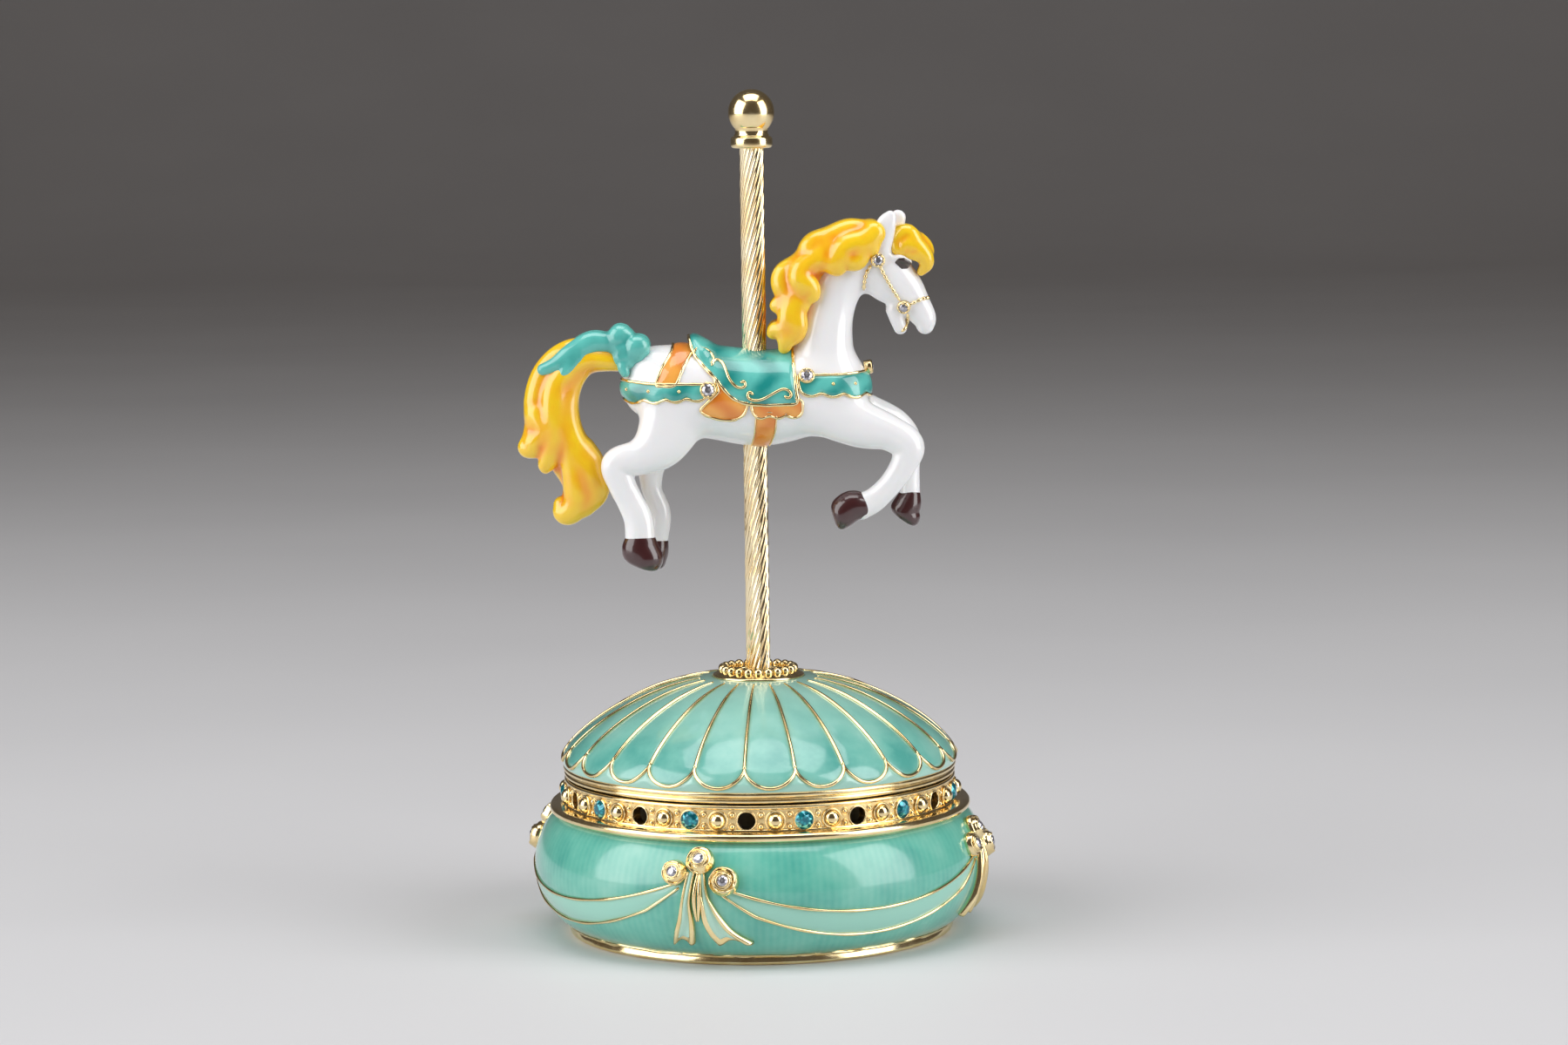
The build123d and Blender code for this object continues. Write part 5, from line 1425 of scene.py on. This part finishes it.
# %% Wires along an outline
def crossing_loops(shape, value):
    """Closed runs of points where a value, one per mesh point, passes through zero."""
    points, quads = shape
    corners = np.vstack([quads[:, [0, 1, 2]], quads[:, [0, 2, 3]]])
    above = value[corners] > 0
    spots, links = {}, {}
    for tri in corners[above.any(1) & ~above.all(1)].tolist():
        ends = []
        for a, b in zip(tri, tri[1:] + tri[:1]):
            if (value[a] > 0) == (value[b] > 0):
                continue
            edge = (min(a, b), max(a, b))
            share = value[a] / (value[a] - value[b])
            spots[edge] = points[a] * (1 - share) + points[b] * share
            ends.append(edge)
        links.setdefault(ends[0], []).append(ends[1])
        links.setdefault(ends[1], []).append(ends[0])
    loops, seen = [], set()
    for first in spots:
        run, here = [], first
        while here is not None and here not in seen:
            seen.add(here)
            run.append(spots[here])
            here = next((n for n in links[here] if n not in seen), None)
        if len(run) > 12:
            loops.append(np.array(run))
    return loops


def evened(run, spacing=0.3, rounds=6, closed=True):
    """The same run with evenly spaced, gently smoothed points."""
    run = np.vstack([run, run[:1]]) if closed else np.asarray(run)
    length = np.concatenate([[0], np.cumsum(np.linalg.norm(np.diff(run, axis=0), axis=1))])
    t = np.linspace(0, length[-1], max(int(length[-1] / spacing), 8))
    out = np.stack([np.interp(t, length, run[:, k]) for k in range(3)], -1)
    if closed:
        out = out[:-1]
    for _ in range(rounds):
        mean = 0.5 * (np.roll(out, 1, 0) + np.roll(out, -1, 0))
        if not closed:
            mean[0], mean[-1] = out[0], out[-1]
        out = 0.5 * (out + mean)
    return out


def edging(outline, field, shape, radius, lift):
    """Gilt wire all along one outline, standing on the skin."""
    flat = outline_distance(outline)
    points = shape[0]
    i, k = ((points[:, [0, 2]] - BLOCK_LOW[[0, 2]]) / GRAIN).T
    i0, k0 = i.astype(int), k.astype(int)
    u, v = i - i0, k - k0
    value = (flat[i0, k0] * (1 - u) * (1 - v) + flat[i0 + 1, k0] * u * (1 - v)
             + flat[i0, k0 + 1] * (1 - u) * v + flat[i0 + 1, k0 + 1] * u * v)
    wires = []
    for run in crossing_loops(shape, value):
        run = evened(run)
        out = outward_of(field, run)
        run = run + (lift - sampled(field, run))[:, None] * out
        knobs = radius * (1 + 0.12 * np.sin(np.arange(len(run)) * 0.9))
        wires.append(wire(run, knobs, 8, closed=True, lean=out))
    return wires


# %% [markdown]
# The saddle needs a little clay of its own first: a cantle that stands up behind the seat.

# %% Enamel between the wires
cantle = lump(((-11.4, 0, 104.9, 1.3, 3.2), (-10.9, 0, 105.1, 1.4, 3.4), (-9.6, 0, 103.6, 2.0, 4.4)))
saddle_clay = pressed(torso, cantle, 1.2)


def poured(base, outline, thick, pillow=0.5):
    """Enamel of a given thickness inside an outline, rounded down towards its edges."""
    flat = outline_distance(outline)[:, None, :]
    level = thick * (1 - np.exp(np.minimum(flat, 0) / pillow)) + 0.05
    return np.maximum(np.maximum(base - level, -(base + 0.35)), flat)


def harness(name, base, outline, thick, finish, radius=0.27):
    """One enamelled piece, and the wires that edge it."""
    field = poured(base, outline, thick)
    shape = skin_of(field, settle=1)
    tone = np.clip(0.45 + 0.5 * np.sin(shape[0][:, 0] * 0.9 + 1.3 * np.sin(shape[0][:, 2] * 0.8)), 0, 1)
    piece(name, shape, finish, "turning_top", tone=tone)
    return edging(outline, base, base_skins[id(base)], radius, 0.1)


base_skins = {id(clay): horse_skin, id(saddle_clay): skin_of(saddle_clay)}
gilt_edges = harness("girth", clay, GIRTH, 0.22, orange_enamel, 0.14)
gilt_edges += harness("saddle_leaf", clay, LEAF, 0.28, orange_enamel)
gilt_edges += harness("saddle_skirt", clay, SKIRT, 0.30, orange_enamel)
gilt_edges += harness("crupper_strap", clay, STRAP, 0.25, orange_enamel)
gilt_edges += harness("rear_band", clay, REAR_BAND, 0.32, teal_enamel)
gilt_edges += harness("breast_band", clay, BREAST_BAND, 0.32, teal_enamel)
gilt_edges += harness("saddle", saddle_clay, SADDLE, 0.55, teal_enamel, 0.34)
piece("harness_wires", weld(gilt_edges), gold, "turning_top")

# %% [markdown]
# The last gilt work is laid on one by one: scrolls on the saddle, a twisted bridle, rivets on the bands,
# and a bezel round each clear stone.  To lay a line on the horse we look from the side and slide each
# of its points inward until it meets the clay.


# %% Scrolls, bridle, rivets and stones
def laid_on(field, x, z, side, lift):
    """Where a side view's (x, z) points meet the clay, pushed out by a lift."""
    x, z = np.atleast_1d(np.asarray(x, float)), np.atleast_1d(np.asarray(z, float))
    y = np.full(len(x), 9.0)
    for _ in range(60):
        here = np.stack([x, side * y, z], -1)
        y = np.maximum(y - 0.7 * np.clip(sampled(field, here), -0.3, 0.5), 0.0)
    here = np.stack([x, side * y, z], -1)
    out = outward_of(field, here)
    return here + lift * out, out


def line_on(field, points, radius, lift, side, twist=0.0):
    """A wire laid on the horse through a few side-view points."""
    run = smooth_run([(x, 0, z) for x, z in points], len(points) * 8)
    place, _ = laid_on(field, run[:, 0], run[:, 2], side, lift)
    run = evened(place, 0.2, 3, closed=False)
    k = np.arange(len(run))
    thick = radius * (1 + twist * np.sin(k * 1.35))
    ends = np.clip(np.minimum(k, k[::-1]) / 3 + 0.5, 0, 1)
    return wire(run, thick * ends, 8)


SCROLLS = (
    ((-10.4, 103.6), (-9.9, 104.3), (-8.8, 104.0), (-7.7, 103.1), (-7.2, 102.2), (-7.7, 101.7)),
    ((-7.6, 101.3), (-6.9, 102.2), (-5.8, 101.8), (-5.1, 100.6), (-4.5, 99.2), (-3.5, 98.0), (-2.4, 97.6),
     (-1.6, 98.0), (-1.9, 98.7), (-2.5, 98.5)),
    ((-0.3, 96.5), (-0.9, 97.0), (-1.3, 96.5), (-1.0, 95.8), (0.2, 95.5), (1.6, 95.8), (3.2, 96.6),
     (4.8, 97.3), (5.9, 97.1), (6.4, 96.3), (5.8, 95.8), (5.2, 96.2)),
)
CHEEK_STRAP = ((22.4, 118.6), (23.2, 116.9), (24.4, 114.8), (25.8, 112.6))
THROAT_STRAP = ((20.8, 118.7), (19.9, 117.2), (19.6, 115.6), (19.5, 114.4))
NOSEBAND = ((27.3, 111.5), (28.6, 112.2), (30.0, 112.7), (31.0, 112.8))
LIP = ((27.3, 110.0), (27.3, 108.8), (26.9, 107.6), (26.2, 106.9))
STONES = ((22.0, 119.6, 0.95), (26.6, 111.4, 0.9), (9.2, 99.5, 1.12), (-8.2, 97.4, 1.15))
RIVETS = ((-22.4, 97.4), (-18.6, 97.2), (-13.3, 97.2), (13.8, 98.1), (17.6, 98.0))


def trimmings():
    """Gilt scrolls, bridle, rivets and settings for both sides of the horse; and the stones."""
    gilt, stones = [], []
    for side in (-1, 1):
        for scroll in SCROLLS:
            gilt.append(line_on(saddle_clay, scroll, 0.27, 0.66, side))
        for strap in (CHEEK_STRAP, THROAT_STRAP, NOSEBAND):
            gilt.append(line_on(clay, strap, 0.29, 0.12, side, twist=0.3))
        gilt.append(line_on(clay, LIP, 0.30, 0.02, side))
        for x, z in RIVETS:
            spot, out = laid_on(clay, x, z, side, 0.34)
            gilt.append(set_at(bead(0.34, 5, 10), spot[0], out[0]))
        for x, z, radius in STONES:
            spot, out = laid_on(clay, x, z, side, 0.5)
            setting = [(radius + 0.28, -0.9), (radius + 0.34, 0.0), (radius + 0.22, 0.3),
                       (radius, 0.34), (radius - 0.1, -0.9)]
            gilt.append(set_at(turned(setting, 28), spot[0], out[0]))
            for a in np.arange(8) * TAU / 8:
                p, f = bead(0.2, 4, 8)
                claw = (p + (radius * math.cos(a), radius * math.sin(a), 0.26), f)
                gilt.append(set_at(claw, spot[0], out[0]))
            stones.append(set_at(cut_stone(radius), spot[0] + 0.12 * out[0], out[0]))
    chest = np.array([20.7, 0.0, 100.7])
    chest_setting = turned([(1.2, -1.2), (1.26, 0.0), (1.1, 0.3), (0.9, -1.2)], 28)
    gilt.append(set_at(chest_setting, chest, (1, 0, 0.15)))
    stones.append(set_at(cut_stone(1.0), chest, (1, 0, 0.15)))
    return weld(gilt), weld(stones)


trim_gilt, horse_stones = trimmings()
piece("horse_trimmings", trim_gilt, gold, "turning_top")
piece("horse_cut_stones", horse_stones, clear_stone, "turning_top",
      ("horse_stones",), smooth=False)

# %% [markdown]
# The eyes are almond pools of dark enamel under the brow.

# %% Eyes
EYE = [(24.9, 119.2), (25.6, 120.0), (26.7, 120.1), (27.8, 119.4), (28.2, 118.6), (27.2, 118.0),
       (26.1, 118.0)]
eye_field = np.maximum(poured(clay, EYE, 0.22, 0.4), 1.5 - np.abs(AXIS_Y)[None, :, None])
piece("horse_eyes", skin_of(eye_field, settle=1), eye_enamel, "turning_top")

# %% [markdown]
# ## The works inside
# The plates, screws, wheels and springs keep their exact mechanical shapes, so they stay as they are and
# only need bench finishes.  Each one's slot in the record names its metal.


# %% Bench finishes for the mechanical pieces
FINISH_FOR = {"steel": steel, "zinc": zinc, "brass": brass, "nylon": nylon, "gold_plate": gold, "felt": felt}
dressed = 0
for part in frame["record"]["subparts"]:
    kept = frame["nodes"][part["node"]]
    if kept.hide_render:
        continue
    kept.data.materials.clear()
    is_spring = "spring" in part["node"]
    kept.data.materials.append(spring_steel if is_spring else FINISH_FOR[part["material_slot"]])
    dressed += 1
print(dressed, "mechanical pieces dressed")

# %% [markdown]
# The felt under the foot is a soft piece, so it gets its own mesh: a disc with rounded edges and a
# slightly uneven nap.


# %% The felt pad
def felt_shape():
    """A disc with a rounded edge and an uneven nap."""
    (_, _, low), (radius, _, high) = reach("felt_pad")
    round_edge = np.linspace(0.2, 1.57, 6)
    r = np.concatenate([np.linspace(0.4, radius - 0.4, 26), radius - 0.4 + 0.4 * np.sin(round_edge)])
    drop = np.concatenate([np.zeros(26), 0.2 * (1 - np.cos(round_edge))])
    outline = [(a, low + b) for a, b in zip(r, drop)] + [(a, high - b) for a, b in zip(r[::-1], drop[::-1])]
    points, faces = turned(outline, 240)
    nap = 0.02 * np.sin(points[:, 0] * 3.1 + 1.7 * np.sin(points[:, 1] * 2.3)) * np.sin(points[:, 1] * 3.7)
    points[:, 2] += np.abs(nap) * np.where(points[:, 2] > (low + high) / 2, -1, 1)
    return points, faces


piece("felt_disc", felt_shape(), felt, "base", ("felt_pad",))

# %% [markdown]
# ## Floor, light and camera
# Polished gold shows only what surrounds it.  A large soft panel on each side and a third overhead give
# it broad bright bands, and the dark room between them gives it contrast.  The pale floor runs far back,
# out of the light, and curves up, so it fades to dark grey behind the box with no line between the two.


# %% The floor and its sweep
def floor_finish():
    finish, tree, shader = new_finish("pale floor", Roughness=0.55)
    shader.inputs["Specular IOR Level"].default_value = 0.25
    tree.links.new(ramp(tree, noise(tree, 6, 2), [(0.3, (0.70, 0.70, 0.72)), (0.7, (0.73, 0.73, 0.75))]),
                   shader.inputs["Base Color"])
    return finish


FLOOR_HALF = 5.0                      # metres, like the rest of this cell
SWEEP_START, SWEEP_RADIUS = 2.2, 1.6
bend = np.linspace(0, math.pi / 2, 40)
run_back = [(-3.0, 0.0), (0.0, 0.0)]
for t in bend:
    run_back.append((SWEEP_START + SWEEP_RADIUS * math.sin(t), SWEEP_RADIUS * (1 - math.cos(t))))
floor_points = [(x, y, z) for y, z in run_back for x in (-FLOOR_HALF, FLOOR_HALF)]
floor_mesh = bpy.data.meshes.new("floor")
floor_mesh.from_pydata(floor_points, [], grid_faces(len(run_back), 2).tolist())
floor_mesh.polygons.foreach_set("use_smooth", [True] * len(floor_mesh.polygons))
floor_mesh.materials.append(floor_finish())
floor = bpy.data.objects.new("floor", floor_mesh)
bpy.context.scene.collection.objects.link(floor)

# %% [markdown]
# Each panel stands for a lamp behind a large diffusing sheet.  The two at the sides stand well round
# from the camera, so the ball and the bowl show a bright patch on each flank, not one in the middle.
# Weak, slightly warm light from the room keeps the shadows open.


# %% Soft panels and the room
def aim(obj, target):
    """Point a camera or lamp at a place."""
    away = Vector(target) - obj.location
    obj.rotation_euler = away.to_track_quat("-Z", "Y").to_euler()


def soft_panel(name, place, target, size, power):
    """A rectangular area lamp, pointed at a target."""
    lamp = bpy.data.lights.new(name, "AREA")
    lamp.shape = "RECTANGLE"
    lamp.size, lamp.size_y = size
    lamp.energy = power
    obj = bpy.data.objects.new(name, lamp)
    bpy.context.scene.collection.objects.link(obj)
    obj.location = place
    aim(obj, target)


soft_panel("left_panel", (-0.82, -0.34, 0.48), (0, 0, 0.08), (0.90, 1.0), 8.0)
soft_panel("right_panel", (0.80, -0.36, 0.46), (0, 0, 0.08), (0.60, 1.0), 6.5)
soft_panel("top_panel", (0.0, -0.10, 0.95), (0, 0, 0.05), (0.8, 0.6), 4.2)
room = bpy.data.worlds.new("room")
room.use_nodes = True
room.node_tree.nodes["Background"].inputs["Color"].default_value = (0.34, 0.30, 0.27, 1)
room.node_tree.nodes["Background"].inputs["Strength"].default_value = 0.25
bpy.context.scene.world = room
bpy.context.scene.view_settings.view_transform = "Standard"

# %% [markdown]
# The camera stands well back with a long lens, so the box shows hardly any distortion.  It looks down a
# few degrees: enough to see the collar's beads and the dome, not enough to hide the bowl.

# %% The camera
camera_data = bpy.data.cameras.new("camera")
camera_data.lens = 100
camera_data.sensor_width = 36
camera = bpy.data.objects.new("camera", camera_data)
bpy.context.scene.collection.objects.link(camera)
camera.location = (0.0, -0.772, 0.1582)
LOOK_DOWN_DEG = 6.3
LOOK_RIGHT_DEG = 0.365
TILT_DEG = 0.7
pointed = Euler((math.radians(90 - LOOK_DOWN_DEG), 0, -math.radians(LOOK_RIGHT_DEG))).to_matrix()
camera.rotation_euler = (pointed @ Matrix.Rotation(math.radians(-TILT_DEG), 3, "Z")).to_euler()
bpy.context.scene.camera = camera
